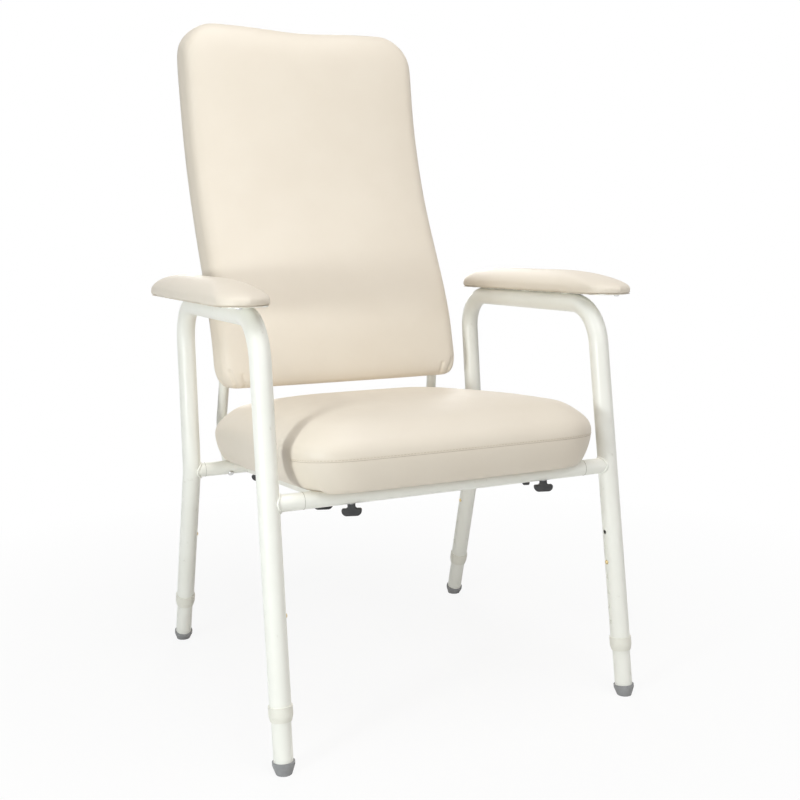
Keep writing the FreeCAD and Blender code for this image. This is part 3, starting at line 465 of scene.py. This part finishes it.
MATERIALS = {
    "vinyl": vinyl(),
    "frame_paint": powder_coat(),
    "collar_plastic": moulded("collar_plastic", (0.87, 0.855, 0.77), (0.83, 0.81, 0.725),
                              roughness=0.48, grain_scale=900.0, grain_depth=0.0001),
    "rubber": moulded("rubber", (0.35, 0.35, 0.355), (0.27, 0.27, 0.275),
                      roughness=0.72, grain_scale=700.0, grain_depth=0.0002),
    "knob_plastic": moulded("knob_plastic", (0.055, 0.055, 0.056), (0.038, 0.038, 0.040),
                            roughness=0.52, grain_scale=1100.0, grain_depth=0.0002),
    "zinc": metal("zinc", (0.74, 0.74, 0.73), (0.58, 0.58, 0.57), 0.32),
    "button_metal": metal("button_metal", (0.78, 0.63, 0.34), (0.62, 0.48, 0.24), 0.34),
    "plywood": plywood(),
}
THREAD = moulded("thread", (0.70, 0.615, 0.49), (0.60, 0.52, 0.40),
                 roughness=0.75, grain_scale=5200.0, grain_depth=0.0002)
# Darker vinyl tone for a thin tube along the seat's seam: painted shadow of the seam's crease.
SEAM_PAINTED_SHADOW = moulded("seam_painted_shadow", (0.58, 0.505, 0.40), (0.50, 0.43, 0.335),
                     roughness=0.8, grain_scale=1500.0, grain_depth=0.0001)
JOINT_SHADE = moulded("joint_shade", (0.44, 0.42, 0.35), (0.36, 0.34, 0.28),
                      roughness=0.8, grain_scale=1500.0, grain_depth=0.0001)
# Dark metal for the screws' cross slots: painted shade in the recesses.
RECESS_PAINTED_SHADE = metal("screw_recess_painted_shade", (0.20, 0.20, 0.20), (0.12, 0.12, 0.12), 0.55)


def dress_nodes():
    """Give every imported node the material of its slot."""
    for row in frame["record"]["subparts"]:
        mesh = NODES[row["node"]].data
        mesh.materials.clear()
        mesh.materials.append(MATERIALS[row["material_slot"]])


def finish_piece(piece, body, slot, material=None):
    piece.data.materials.clear()
    piece.data.materials.append(material or MATERIALS[slot])
    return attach(piece, body)


# Soft goods

def coordinates(mesh):
    co = np.zeros(len(mesh.vertices) * 3)
    mesh.vertices.foreach_get("co", co)
    return co.reshape(-1, 3)


def normals(mesh):
    values = np.zeros(len(mesh.vertices) * 3)
    mesh.vertex_normals.foreach_get("vector", values)
    return values.reshape(-1, 3)


def set_coordinates(mesh, co):
    mesh.vertices.foreach_set("co", np.asarray(co, np.float32).ravel())
    mesh.update()


def baked(piece):
    """Replace a piece's mesh with what its modifiers make of it."""
    view = bpy.context.evaluated_depsgraph_get()
    mesh = bpy.data.meshes.new_from_object(piece.evaluated_get(view))
    piece.modifiers.clear()
    piece.data = mesh
    return piece


def soft_copy(name, node, voxel, filled=False):
    """Closed even mesh of a packed soft solid, as a new piece, with its hollows filled if asked."""
    mesh = NODES[node].data.copy()
    welded = bmesh.new()
    welded.from_mesh(mesh)
    bmesh.ops.remove_doubles(welded, verts=welded.verts, dist=WELD_DISTANCE)
    if filled:
        bmesh.ops.delete(welded, geom=welded.edges[:] + welded.faces[:], context="EDGES_FACES")
        hull = bmesh.ops.convex_hull(welded, input=welded.verts)
        inner = [item for item in hull["geom_interior"] if isinstance(item, bmesh.types.BMVert)]
        bmesh.ops.delete(welded, geom=inner, context="VERTS")
    welded.to_mesh(mesh)
    welded.free()
    piece = link(bpy.data.objects.new(name, mesh))
    remesh = piece.modifiers.new("even", "REMESH")
    remesh.mode = "VOXEL"
    remesh.voxel_size = voxel
    return baked(piece)


def within(x, y, half_width, front, rear, corner):
    """Which points lie inside a rectangle with round corners."""
    past_side = np.maximum(np.abs(x) - (half_width - corner), 0)
    past_end = np.maximum(np.abs(y - (front + rear) / 2) - ((rear - front) / 2 - corner), 0)
    return past_side ** 2 + past_end ** 2 < corner ** 2


def smoothed(mesh, co, rounds, free):
    """Move points towards the mean of their neighbours, where free is 1."""
    edges = np.zeros(len(mesh.edges) * 2, int)
    mesh.edges.foreach_get("vertices", edges)
    edges = edges.reshape(-1, 2)
    counts = np.bincount(edges.ravel(), minlength=len(co)).astype(float)
    for _ in range(rounds):
        total = np.zeros_like(co)
        np.add.at(total, edges[:, 0], co[edges[:, 1]])
        np.add.at(total, edges[:, 1], co[edges[:, 0]])
        mean = total / np.maximum(counts, 1)[:, None]
        co = co + (mean - co) * SMOOTH_STEP * free[:, None]
    return co


def inflate(piece, held, pressure, swell, crease, last_frame=20):
    """Blow the piece up as cloth where it isn't held.

    The swelling is scaled so that a quarter of the free surface moves out by swell or more,
    and evened out over the mesh, keeping a share of its creases.
    """
    mesh = piece.data
    rest = coordinates(mesh)
    outward = normals(mesh)
    group = piece.vertex_groups.new(name="held")
    for index, weight in enumerate(held):
        if weight > 0.01:
            group.add([index], float(weight), "REPLACE")
    cloth = piece.modifiers.new("cloth", "CLOTH")
    settings = cloth.settings
    settings.quality = 5
    settings.mass = 0.3
    settings.tension_stiffness = 15
    settings.compression_stiffness = 15
    settings.shear_stiffness = 8
    settings.bending_stiffness = 4.0
    settings.use_pressure = True
    settings.uniform_pressure_force = pressure
    settings.vertex_group_mass = "held"
    settings.effector_weights.gravity = 0
    cloth.collision_settings.use_collision = False
    cloth.point_cache.frame_start = 1
    cloth.point_cache.frame_end = last_frame
    scene = bpy.context.scene
    for number in range(1, last_frame + 1):
        scene.frame_set(number)
    view = bpy.context.evaluated_depsgraph_get()
    swollen = piece.evaluated_get(view).to_mesh()
    moved = ((coordinates(swollen) - rest) * outward).sum(1)
    piece.evaluated_get(view).to_mesh_clear()
    piece.modifiers.clear()
    piece.vertex_groups.clear()
    scene.frame_set(1)
    moved *= swell / np.percentile(moved[held < 0.5], SWELL_PERCENTILE)
    moved = np.clip(moved, LEAST_SWELL * swell, MOST_SWELL * swell)
    even = smoothed(mesh, moved[:, None], EVEN_ROUNDS, 1 - held)[:, 0]
    even += crease * (moved - even)
    set_coordinates(mesh, rest + outward * even[:, None])


def swollen_points(piece, held, shrink, swelling):
    """Points of a piece whose free part is drawn in, blown up as cloth and smoothed lightly."""
    inward = normals(piece.data) * (shrink * (1 - held))[:, None]
    set_coordinates(piece.data, coordinates(piece.data) - inward)
    inflate(piece, held, **swelling)
    return smoothed(piece.data, coordinates(piece.data), LIGHT_ROUNDS, 1 - held * HELD_GRIP)


def soft_step(values, low, high):
    """0 below low and 1 above high, turning smoothly between them."""
    share = np.clip((values - low) / (high - low), 0, 1)
    return share * share * (3 - 2 * share)


def subdivided(piece):
    piece.modifiers.new("finer", "SUBSURF").levels = 1
    piece.modifiers["finer"].render_levels = 1
    baked(piece)
    piece.data.shade_smooth()
    return piece


def tree_of(piece):
    mesh = piece.data
    points = [v.co.copy() for v in mesh.vertices]
    return BVHTree.FromPolygons(points, [list(p.vertices) for p in mesh.polygons])


def even_path(points, spacing, closed):
    """Points at an even spacing along a line of points."""
    line = np.array([tuple(p) for p in points])
    if closed:
        line = np.vstack([line, line[:1]])
    runs = np.linalg.norm(np.diff(line, axis=0), axis=1)
    along = np.concatenate([[0], np.cumsum(runs)])
    count = max(int(round(along[-1] / spacing)), 3)
    places = np.linspace(0, along[-1], count + 1)
    if closed:
        places = places[:-1]
    spots = [np.interp(places, along, line[:, axis]) for axis in range(3)]
    return [Vector(p) for p in np.stack(spots, 1)]


def press_line(piece, points, depth, width):
    """Press a groove into a piece along a line of points."""
    mesh = piece.data
    co = coordinates(mesh)
    line = np.array([tuple(p) for p in points])
    reach = 4 * width
    near = np.where(np.all((co > line.min(0) - reach) & (co < line.max(0) + reach), axis=1))[0]
    spots = co[near]
    distance = np.full(len(near), np.inf)
    for point in line:
        distance = np.minimum(distance, np.linalg.norm(spots - point, axis=1))
    shift = depth * np.exp(-(distance / width) ** 2)
    co[near] -= normals(mesh)[near] * shift[:, None]
    set_coordinates(mesh, co)


def seat_local(co):
    """Across, back and up coordinates in the seat's own plane."""
    rel = co - np.array(SEAT_ORIGIN)
    return rel[:, 0], rel @ np.array(SEAT_BACK), rel @ np.array(SEAT_UP)


def seat_point(across, back, up):
    return SEAT_ORIGIN + X_AXIS * across + SEAT_BACK * back + SEAT_UP * up


def seat_cushion():
    """Seat cover with a full rim, a front that sags past the rail and a pocket for the board."""
    piece = soft_copy("seat_cushion_cover", "seat_cushion", SEAT_VOXEL, True)
    held = 1 - soft_step(seat_local(coordinates(piece.data))[2], *SEAT_HELD)
    co = swollen_points(piece, held, SEAT_SHRINK, SEAT_SWELLING)
    rim = np.exp(-((seat_local(co)[2] - RIM_LEVEL) / RIM_SMOOTH_HEIGHT) ** 2) * (1 - held) ** 2
    set_coordinates(piece.data, smoothed(piece.data, co, RIM_SMOOTH_ROUNDS, rim))
    subdivided(piece)
    co = coordinates(piece.data)
    across, back, up = seat_local(co)
    board_across, board_back, _ = seat_local(coordinates(NODES["seat_board"].data))
    full = RIM_FULLNESS * np.exp(-((up - RIM_LEVEL) / RIM_HALF_HEIGHT) ** 4)
    outward = normals(piece.data)
    outward -= (outward @ np.array(SEAT_UP))[:, None] * np.array(SEAT_UP)
    co += outward * full[:, None]
    sag = FRONT_SAG * (1 - soft_step(back, *SAG_BACK)) * (1 - soft_step(up, *SAG_LEVELS))
    pocket = within(across, back, board_across.max() - SEAT_WRAP, board_back.min() + SEAT_WRAP,
                    board_back.max() - SEAT_WRAP, SEAT_POCKET_CORNER)
    pocket &= up < BOARD_LEVEL + SEAT_POCKET_REACH
    lift = np.where(pocket, BOARD_LEVEL + BOARD_THICK + COVER_GAP - up, -sag)
    set_coordinates(piece.data, co + lift[:, None] * np.array(SEAT_UP))
    return piece


def seat_seam_path(surface):
    """Line across the cushion's front, from one front corner to the other, where two panels are sewn."""
    hits = []
    for step in range(SEAM_STEPS + 1):
        turn = math.radians(180 + 180 * step / SEAM_STEPS)
        aim = X_AXIS * math.cos(turn) + SEAT_BACK * math.sin(turn)
        start = seat_point(0, SEAM_END_BACK, SEAT_SEAM_LEVEL) + aim
        hits.append(surface.ray_cast(start, -aim)[0])
    return even_path(hits, SEAM_SPACING, False)


def ripple(along, phase):
    """Uneven wave between about -1 and 1."""
    return (0.5 * math.sin(along + phase) + 0.3 * math.sin(2.3 * along + 2.1 * phase)
            + 0.2 * math.sin(5.1 * along + 3.7 * phase))


def pucker(piece, seam):
    """Small gathers that run away from a seam, strongest where it turns."""
    mesh = piece.data
    co = coordinates(mesh)
    line = np.array([tuple(p) for p in seam])
    share = np.linspace(-1, 1, len(line))
    strength = PUCKER_LEAST + np.exp(-((np.abs(share) - PUCKER_TURN) / PUCKER_TURN_WIDTH) ** 2)
    strength *= 1 - soft_step(np.abs(share), *PUCKER_FADE)
    wave = strength * [ripple(step * PUCKER_STEP, PUCKER_PHASE) for step in range(len(line))]
    near = np.where(np.abs(seat_local(co)[2] - SEAT_SEAM_LEVEL) < PUCKER_BAND)[0]
    outward = normals(mesh)
    for block in np.array_split(near, len(near) // BLOCK_POINTS + 1):
        gap = np.linalg.norm(co[block][:, None, :] - line[None, :, :], axis=2)
        closest = gap.argmin(1)
        distance = gap[np.arange(len(block)), closest]
        fade = np.exp(-distance / PUCKER_REACH) * (1 - np.exp(-distance / PUCKER_START))
        co[block] += outward[block] * (PUCKER_DEPTH * wave[closest] * fade)[:, None]
    set_coordinates(mesh, co)


def stitches(name, points, surface):
    """Row of thread stitches that lie on a surface along a line."""
    rows = Shapes()
    thin = STITCH_RADIUS * STITCH_THIN
    radii = [thin, STITCH_RADIUS, STITCH_RADIUS, STITCH_RADIUS, thin]
    line = even_path(points, STITCH_PITCH, False)
    for point, after in zip(line, line[1:]):
        along = (after - point).normalized()
        spot, normal, _, _ = surface.find_nearest((point + after) / 2)
        ends = []
        for share, rise in STITCH_LINE:
            ends.append(spot + along * STITCH_LENGTH * share + normal * STITCH_RADIUS * rise)
        rows.tube(ends, radii, 6)
    return rows.piece(name)


def sewn_seat():
    """Seat cover with its seam pressed in, a thin dark tube of painted shadow along the seam, the seam's
    thread and its gathers.
    """
    seat = seat_cushion()
    seam = seat_seam_path(tree_of(seat))
    press_line(seat, seam, SEAM_DEPTH, SEAM_WIDTH)
    pucker(seat, seam)
    surface = tree_of(seat)
    finish_piece(seat, "chair", "vinyl")
    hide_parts("seat_cushion")
    # Thin dark tube along the seam: painted shadow in the seam's crease.
    line = Shapes()
    line.tube([surface.find_nearest(point)[0] for point in seam], SEAM_RADIUS, 6)
    finish_piece(line.piece("seat_seam_painted_shadow"), "chair", "vinyl", SEAM_PAINTED_SHADOW)
    above = [point + SEAT_UP * STITCH_OFFSET for point in seam]
    thread = stitches("seat_seam_stitches", above, surface)
    finish_piece(thread, "chair", "vinyl", THREAD)


def back_front(levels):
    """How far forward the backrest stands in its middle, at each level."""
    surface = BVHTree.FromObject(NODES["backrest_cushion"], bpy.context.evaluated_depsgraph_get())
    return [surface.ray_cast(Vector((0, -1, level)), Y_AXIS)[0].y for level in levels]


def corner_pleats(piece):
    """Short pleats folded into the cover at the two lower corners."""
    surface = tree_of(piece)
    low = coordinates(piece.data)[:, 2].min()
    half = np.abs(coordinates(piece.data)[:, 0]).max()
    for side in (-1, 1):
        for inset, lean, length in PLEATS:
            line = []
            for step in range(PLEAT_STEPS + 1):
                share = step / PLEAT_STEPS
                across = side * (half - inset + lean * length * share)
                level = low + BACK_END_INSET + length * share
                spot = surface.ray_cast(Vector((across, -1, level)), Y_AXIS)[0]
                if spot is not None:
                    line.append(spot)
            if len(line) > 3:
                press_line(piece, even_path(line, PLEAT_SPACING, False), PLEAT_DEPTH, PLEAT_WIDTH)


def back_cushion():
    """Backrest cover with a dip and lower corners along its top edge."""
    piece = soft_copy("backrest_cover", "backrest_cushion", BACK_VOXEL)
    co = coordinates(piece.data)
    levels = np.linspace(co[:, 2].min() + BACK_END_INSET, co[:, 2].max() - BACK_END_INSET, BACK_LEVELS)
    depth = co[:, 1] - np.interp(co[:, 2], levels, back_front(levels))
    held = soft_step(depth, *BACK_HELD)
    co = swollen_points(piece, held, BACK_SHRINK, BACK_SWELLING)
    top = co[:, 2].max()
    dip = TOP_DIP * np.exp(-(co[:, 0] / TOP_DIP_WIDTH) ** 2)
    drop = TOP_CORNER_DROP * soft_step(np.abs(co[:, 0]), *TOP_CORNER)
    near_top = soft_step(co[:, 2], top - TOP_BAND[0], top - TOP_BAND[1])
    co[:, 2] += (TOP_FULLNESS - dip - drop) * near_top
    set_coordinates(piece.data, co)
    corner_pleats(subdivided(piece))
    finish_piece(piece, "chair", "vinyl")
    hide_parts("backrest_cushion")


class ArmPlane:
    """Sloping plane of one arm's strip."""

    def __init__(self, name):
        strip = coordinates(NODES["arm_strip_" + name].data)
        self.slope, self.start = np.polyfit(strip[:, 1], strip[:, 2], 1)
        level = self.height(strip)
        self.top = level.max()
        self.low = level.min()
        self.strip_x = strip[:, 0].min(), strip[:, 0].max()
        self.strip_y = strip[:, 1].min(), strip[:, 1].max()

    def height(self, co):
        """Height of points above the strip's middle."""
        return co[:, 2] - self.slope * co[:, 1] - self.start

    def point(self, x, y, height):
        return Vector((x, y, self.slope * y + self.start + height))

    def on_strip(self, x, y):
        across = self.strip_x[0] - STRIP_MARGIN < x < self.strip_x[1] + STRIP_MARGIN
        return across and self.strip_y[0] - STRIP_MARGIN < y < self.strip_y[1] + STRIP_MARGIN


ARMS = {name: ArmPlane(name) for name, _ in SIDES}


def arm_pad(name):
    """Arm pad cover with a pocket for the board."""
    piece = soft_copy("arm_pad_cover_" + name, "arm_pad_" + name, ARM_VOXEL, True)
    arm = ARMS[name]
    held = 1 - soft_step(arm.height(coordinates(piece.data)) - arm.top, *ARM_HELD)
    co = swollen_points(piece, held, ARM_SHRINK, ARM_SWELLING)
    board = coordinates(NODES["arm_board_" + name].data)
    middle = (board[:, 0].min() + board[:, 0].max()) / 2
    half = board[:, 0].max() - middle
    level = arm.height(co) - arm.top
    pocket = within(co[:, 0] - middle, co[:, 1], half - ARM_WRAP, board[:, 1].min() + ARM_WRAP,
                    board[:, 1].max() - ARM_WRAP, half - ARM_WRAP)
    pocket &= level < ARM_POCKET_REACH
    co[:, 2] += np.where(pocket, ARM_BOARD_THICK + COVER_GAP - level, 0)
    set_coordinates(piece.data, co)
    subdivided(piece)
    finish_piece(piece, "chair", "vinyl")
    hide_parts("arm_pad_" + name)


# Cover edges turned under the boards and stapled there

def rounded_path(half_width, front, rear, corner, spacing):
    """Even points round a rectangle with round corners, each with its outward direction."""
    line = []
    for across, along, first in ((1, 1, 0), (-1, 1, 90), (-1, -1, 180), (1, -1, 270)):
        end = rear if along > 0 else front
        for step in range(CORNER_STEPS + 1):
            turn = math.radians(first + 90 * step / CORNER_STEPS)
            line.append((across * (half_width - corner) + corner * math.cos(turn),
                         end - along * corner + corner * math.sin(turn), 0.0))
    points = even_path(line, spacing, True)
    path = []
    for step, point in enumerate(points):
        ahead = points[(step + 1) % len(points)] - points[step - 1]
        path.append((point.x, point.y, Vector((ahead.y, -ahead.x, 0)).normalized()))
    return path


def cover_edge(name, path, width, spot, thickness):
    """Band of vinyl under a board, with an uneven inner edge, as a closed thin solid."""
    band = Shapes()
    rings = []
    for step, (across, along, outward) in enumerate(path):
        reach = width * (1 + EDGE_UNEVEN * ripple(step * 0.31, 1.3))
        ring = []
        for sunk in (False, True):
            for column, share in enumerate(EDGE_SHARES[::-1] if sunk else EDGE_SHARES):
                x = across - outward.x * reach * share
                y = along - outward.y * reach * share
                crinkle = EDGE_CRINKLE * ripple(step * 0.83 + column, 0.4 * column)
                deep = thickness(x, y) * (1 + crinkle)
                ring.append(spot(x, y, -deep if sunk else 0.0))
        rings.append(ring)
    count = len(rings)
    size = len(rings[0])
    faces = []
    for step in range(count):
        low, high = step * size, (step + 1) % count * size
        for side in range(size):
            after = (side + 1) % size
            faces.append([low + side, high + side, high + after, low + after])
    band.add([v for ring in rings for v in ring], faces)
    return finish_piece(band.piece(name), "chair", "vinyl")


def staples(name, path, width, spot, thickness, pitch):
    """Wire staples across a cover edge, left out where something lies against it."""
    wires = Shapes()
    for step in range(0, len(path), pitch):
        across, along, outward = path[step]
        x = across - outward.x * width * 0.5
        y = along - outward.y * width * 0.5
        deep = thickness(x, y)
        if deep < STAPLE_LEAST_ROOM:
            continue
        heading = Vector((outward.y, -outward.x, 0)) * STAPLE_HALF
        wire = []
        for share, sink in STAPLE_LINE:
            wire.append(spot(x + heading.x * share, y + heading.y * share, -deep - sink))
        wires.tube(wire, STAPLE_RADIUS, 6)
    finish_piece(wires.piece(name), "chair", "zinc")


def seat_cover_edge():
    across, back, _ = seat_local(coordinates(NODES["seat_board"].data))
    path = rounded_path(across.max() - SEAT_EDGE_INSET, back.min() + SEAT_EDGE_INSET,
                        back.max() - SEAT_EDGE_INSET, BOARD_CORNER, SEAT_EDGE_SPACING)

    def spot(x, y, height):
        return seat_point(x, y, BOARD_LEVEL + height)

    def thickness(_, y):
        against_rail = min(abs(y), abs(y - SEAT_RUN)) < RAIL_RADIUS + RAIL_MARGIN
        return PRESSED_THICK if against_rail else SEAT_EDGE_THICK

    cover_edge("seat_cover_edge", path, SEAT_EDGE_WIDTH, spot, thickness)
    staples("seat_cover_staples", path, SEAT_EDGE_WIDTH, spot, thickness, SEAT_STAPLE_STEP)


def arm_cover_edge(name):
    arm = ARMS[name]
    board = coordinates(NODES["arm_board_" + name].data)
    middle = (board[:, 0].min() + board[:, 0].max()) / 2
    half = (board[:, 0].max() - board[:, 0].min()) / 2
    path = rounded_path(half + ARM_EDGE_OUT, board[:, 1].min() - ARM_EDGE_OUT,
                        board[:, 1].max() + ARM_EDGE_OUT, half, ARM_EDGE_SPACING)

    def spot(x, y, height):
        return arm.point(middle + x, y, arm.top + height)

    def thickness(x, y):
        return PRESSED_THICK if arm.on_strip(middle + x, y) else ARM_EDGE_THICK

    cover_edge("arm_cover_edge_" + name, path, ARM_EDGE_WIDTH, spot, thickness)
    staples("arm_cover_staples_" + name, path, ARM_EDGE_WIDTH, spot, thickness, ARM_STAPLE_STEP)


def soft_goods():
    sewn_seat()
    back_cushion()
    seat_cover_edge()
    for name, _ in SIDES:
        arm_pad(name)
        arm_cover_edge(name)


# Welds, joints and screws

def weld_bead(beads, surface, centre, axis, radius, thick):
    """Ripple-topped bead where a round stub meets the surface that its axis points at."""
    path = []
    for step in range(BEAD_STEPS):
        turn = 2 * math.pi * step / BEAD_STEPS
        spread_out = Vector((0, math.cos(turn), math.sin(turn))) * radius
        hit = surface.ray_cast(centre + spread_out, axis)[0]
        path.append(hit - axis * thick * BEAD_SINK)
    points = even_path(path, BEAD_SPACING, True)
    turns = [2 * math.pi * step / 3 for step in range(len(points))]
    radii = [thick * (1 + BEAD_RIPPLE * math.sin(turn)) for turn in turns]
    beads.tube(points, radii, 8, True)


def rail_welds():
    view = bpy.context.evaluated_depsgraph_get()
    beads = Shapes()
    gaps = Shapes()
    for name, side in SIDES:
        surface = BVHTree.FromObject(NODES["side_frame_" + name], view)
        for axis_point, node in ((SEAT_ORIGIN, "front_rail"), (REAR_RAIL, "rear_rail")):
            end = side * np.abs(coordinates(NODES[node].data)[:, 0]).max()
            joint = axis_point + X_AXIS * end
            weld_bead(beads, surface, joint, X_AXIS * side, RAIL_RADIUS + RAIL_BEAD_OUT, RAIL_BEAD)
            turns = [2 * math.pi * step / JOINT_STEPS for step in range(JOINT_STEPS)]
            ring = [joint + Vector((0, math.cos(t), math.sin(t))) * RAIL_RADIUS for t in turns]
            gaps.tube(ring, JOINT_LINE, 6, True)
    finish_piece(beads.piece("rail_weld_beads"), "chair", "frame_paint")
    finish_piece(gaps.piece("rail_joint_lines"), "chair", "frame_paint", JOINT_SHADE)


def arm_welds():
    """Short beads that hold the strips on the arm tubes."""
    beads = Shapes()
    shares = [(step + 1) / (ARM_BEAD_STEPS + 1) for step in range(ARM_BEAD_STEPS)]
    radii = [ARM_BEAD * math.sin(math.pi * share) ** 0.5 for share in shares]
    for name, side in SIDES:
        arm = ARMS[name]
        tube_x = side * ARM_TUBE_X
        middle = (arm.strip_y[0] + arm.strip_y[1]) / 2
        for along in ARM_BEADS:
            for offset in (-ARM_BEAD_OFFSET, ARM_BEAD_OFFSET):
                line = []
                for step in range(ARM_BEAD_STEPS):
                    y = middle + along + (step - ARM_BEAD_STEPS // 2) * ARM_BEAD_STEP
                    line.append(arm.point(tube_x + offset, y, arm.low - ARM_BEAD_SINK))
                beads.tube(line, radii, 8)
    finish_piece(beads.piece("arm_weld_beads"), "chair", "frame_paint")


def islands(mesh):
    """Coordinates of each separate part of a mesh."""
    welded = bmesh.new()
    welded.from_mesh(mesh)
    bmesh.ops.remove_doubles(welded, verts=welded.verts, dist=WELD_DISTANCE)
    left = set(welded.verts)
    groups = []
    while left:
        waiting = [left.pop()]
        group = []
        while waiting:
            point = waiting.pop()
            group.append(tuple(point.co))
            for edge in point.link_edges:
                other = edge.other_vert(point)
                if other in left:
                    left.remove(other)
                    waiting.append(other)
        groups.append(np.array(group))
    welded.free()
    return groups


def cross_recess(marks, screw, outward):
    """Cross slot on the end of a screw head that faces outward, as a thin flat dark mark of painted
    shade.
    """
    reach = screw @ np.array(outward)
    face = screw[reach > reach.max() - SCREW_FACE_DEPTH].mean(0)
    first = outward.orthogonal().normalized()
    second = outward.cross(first)
    for long_way, short_way in ((first, second), (second, first)):
        marks.box(Vector(face), (long_way, short_way, outward), RECESS_HALVES)


def screw_recess_painted_shade_marks():
    marks = Shapes()
    for screw in islands(NODES["arm_screws"].data):
        cross_recess(marks, screw, Vector((0, 0, -1)))
    panel = BVHTree.FromObject(NODES["backrest_rear_panel"], bpy.context.evaluated_depsgraph_get())
    for screw in islands(NODES["back_clip_screws"].data):
        normal = panel.find_nearest(Vector(screw.mean(0)) + Y_AXIS * 0.01)[1]
        cross_recess(marks, screw, normal)
    finish_piece(marks.piece("screw_recess_painted_shade_marks", False), "chair", "zinc", RECESS_PAINTED_SHADE)


def soften_edges():
    """Small rounds on the sharp edges of moulded and pressed parts."""
    for name, node in NODES.items():
        for start, width in SOFT_EDGES.items():
            if name.startswith(start):
                edge = node.modifiers.new("edge", "BEVEL")
                edge.width = width
                edge.segments = 2
                edge.limit_method = "ANGLE"
                edge.angle_limit = SOFT_EDGE_ANGLE


# Camera, light and floor

def camera():
    toward = Vector((math.sin(CAMERA_YAW) * math.cos(CAMERA_PITCH),
                     math.cos(CAMERA_YAW) * math.cos(CAMERA_PITCH), -math.sin(CAMERA_PITCH)))
    right = Vector((math.cos(CAMERA_YAW), -math.sin(CAMERA_YAW), 0))
    up = right.cross(toward)
    rolled = right * math.cos(CAMERA_ROLL) + up * math.sin(CAMERA_ROLL)
    upright = up * math.cos(CAMERA_ROLL) - right * math.sin(CAMERA_ROLL)
    data = bpy.data.cameras.new("camera")
    data.lens = CAMERA_LENS
    data.sensor_width = 36.0
    piece = link(bpy.data.objects.new("camera", data))
    turn = Matrix((rolled, upright, -toward)).transposed().to_4x4()
    piece.matrix_world = Matrix.Translation(CAMERA_PLACE) @ turn
    bpy.context.scene.camera = piece


def area_light(name, place_at, size, power, colour):
    data = bpy.data.lights.new(name, "AREA")
    data.shape = "DISK"
    data.size = size
    data.energy = power
    data.color = colour
    lamp = link(bpy.data.objects.new(name, data))
    lamp.location = place_at
    lamp.rotation_euler = (LIGHT_TARGET - Vector(place_at)).to_track_quat("-Z", "Y").to_euler()


def seen_directly(tree):
    """1 for rays from the camera, mirrors and glass, which see the backdrop as white."""
    path = tree.nodes.new("ShaderNodeLightPath")
    most = tree.nodes.new("ShaderNodeMath")
    most.operation = "MAXIMUM"
    tree.links.new(path.outputs["Is Camera Ray"], most.inputs[0])
    tree.links.new(path.outputs["Is Glossy Ray"], most.inputs[1])
    both = tree.nodes.new("ShaderNodeMath")
    both.operation = "MAXIMUM"
    tree.links.new(most.outputs[0], both.inputs[0])
    tree.links.new(path.outputs["Is Transmission Ray"], both.inputs[1])
    return both.outputs[0]


def world():
    scene_world = bpy.data.worlds.new("studio")
    scene_world.use_nodes = True
    tree = scene_world.node_tree
    ambient = tree.nodes["Background"]
    ambient.inputs["Color"].default_value = (1.0, 0.985, 0.96, 1)
    ambient.inputs["Strength"].default_value = 0.15
    backdrop = tree.nodes.new("ShaderNodeBackground")
    backdrop.inputs["Color"].default_value = (1, 1, 1, 1)
    backdrop.inputs["Strength"].default_value = 1.0
    mix = tree.nodes.new("ShaderNodeMixShader")
    tree.links.new(seen_directly(tree), mix.inputs["Fac"])
    tree.links.new(ambient.outputs[0], mix.inputs[1])
    tree.links.new(backdrop.outputs[0], mix.inputs[2])
    tree.links.new(mix.outputs[0], tree.nodes["World Output"].inputs["Surface"])
    bpy.context.scene.world = scene_world


def floor():
    """Pale floor that glows white to the camera and still takes a soft shadow near the chair."""
    half = 14.0
    piece = mesh_piece("floor", [(-half, -half, 0), (half, -half, 0), (half, half, 0), (-half, half, 0)],
                       [[0, 1, 2, 3]], False)
    material, tree, surface = shader("floor", 0.9, specular=0.0)
    surface.inputs["Base Color"].default_value = (0.86, 0.855, 0.84, 1)
    glow = tree.nodes.new("ShaderNodeEmission")
    glow.inputs["Color"].default_value = (1, 1, 1, 1)
    glow.inputs["Strength"].default_value = 1.0
    distance = tree.nodes.new("ShaderNodeVectorMath")
    distance.operation = "LENGTH"
    tree.links.new(place(tree), distance.inputs[0])
    whiteness = tree.nodes.new("ShaderNodeMapRange")
    whiteness.inputs["From Min"].default_value = 0.5
    whiteness.inputs["From Max"].default_value = 1.4
    whiteness.inputs["To Min"].default_value = 0.90
    whiteness.inputs["To Max"].default_value = 1.0
    tree.links.new(distance.outputs["Value"], whiteness.inputs["Value"])
    share = tree.nodes.new("ShaderNodeMath")
    share.operation = "MULTIPLY"
    tree.links.new(seen_directly(tree), share.inputs[0])
    tree.links.new(whiteness.outputs["Result"], share.inputs[1])
    mix = tree.nodes.new("ShaderNodeMixShader")
    tree.links.new(share.outputs[0], mix.inputs["Fac"])
    tree.links.new(surface.outputs[0], mix.inputs[1])
    tree.links.new(glow.outputs[0], mix.inputs[2])
    tree.links.new(mix.outputs[0], tree.nodes["Material Output"].inputs["Surface"])
    piece.data.materials.append(material)


def studio():
    camera()
    world()
    floor()
    for light in LIGHTS:
        area_light(*light)
    bpy.context.scene.view_settings.view_transform = "Standard"


dress_nodes()
soften_edges()
soft_goods()
rail_welds()
arm_welds()
screw_recess_painted_shade_marks()
studio()
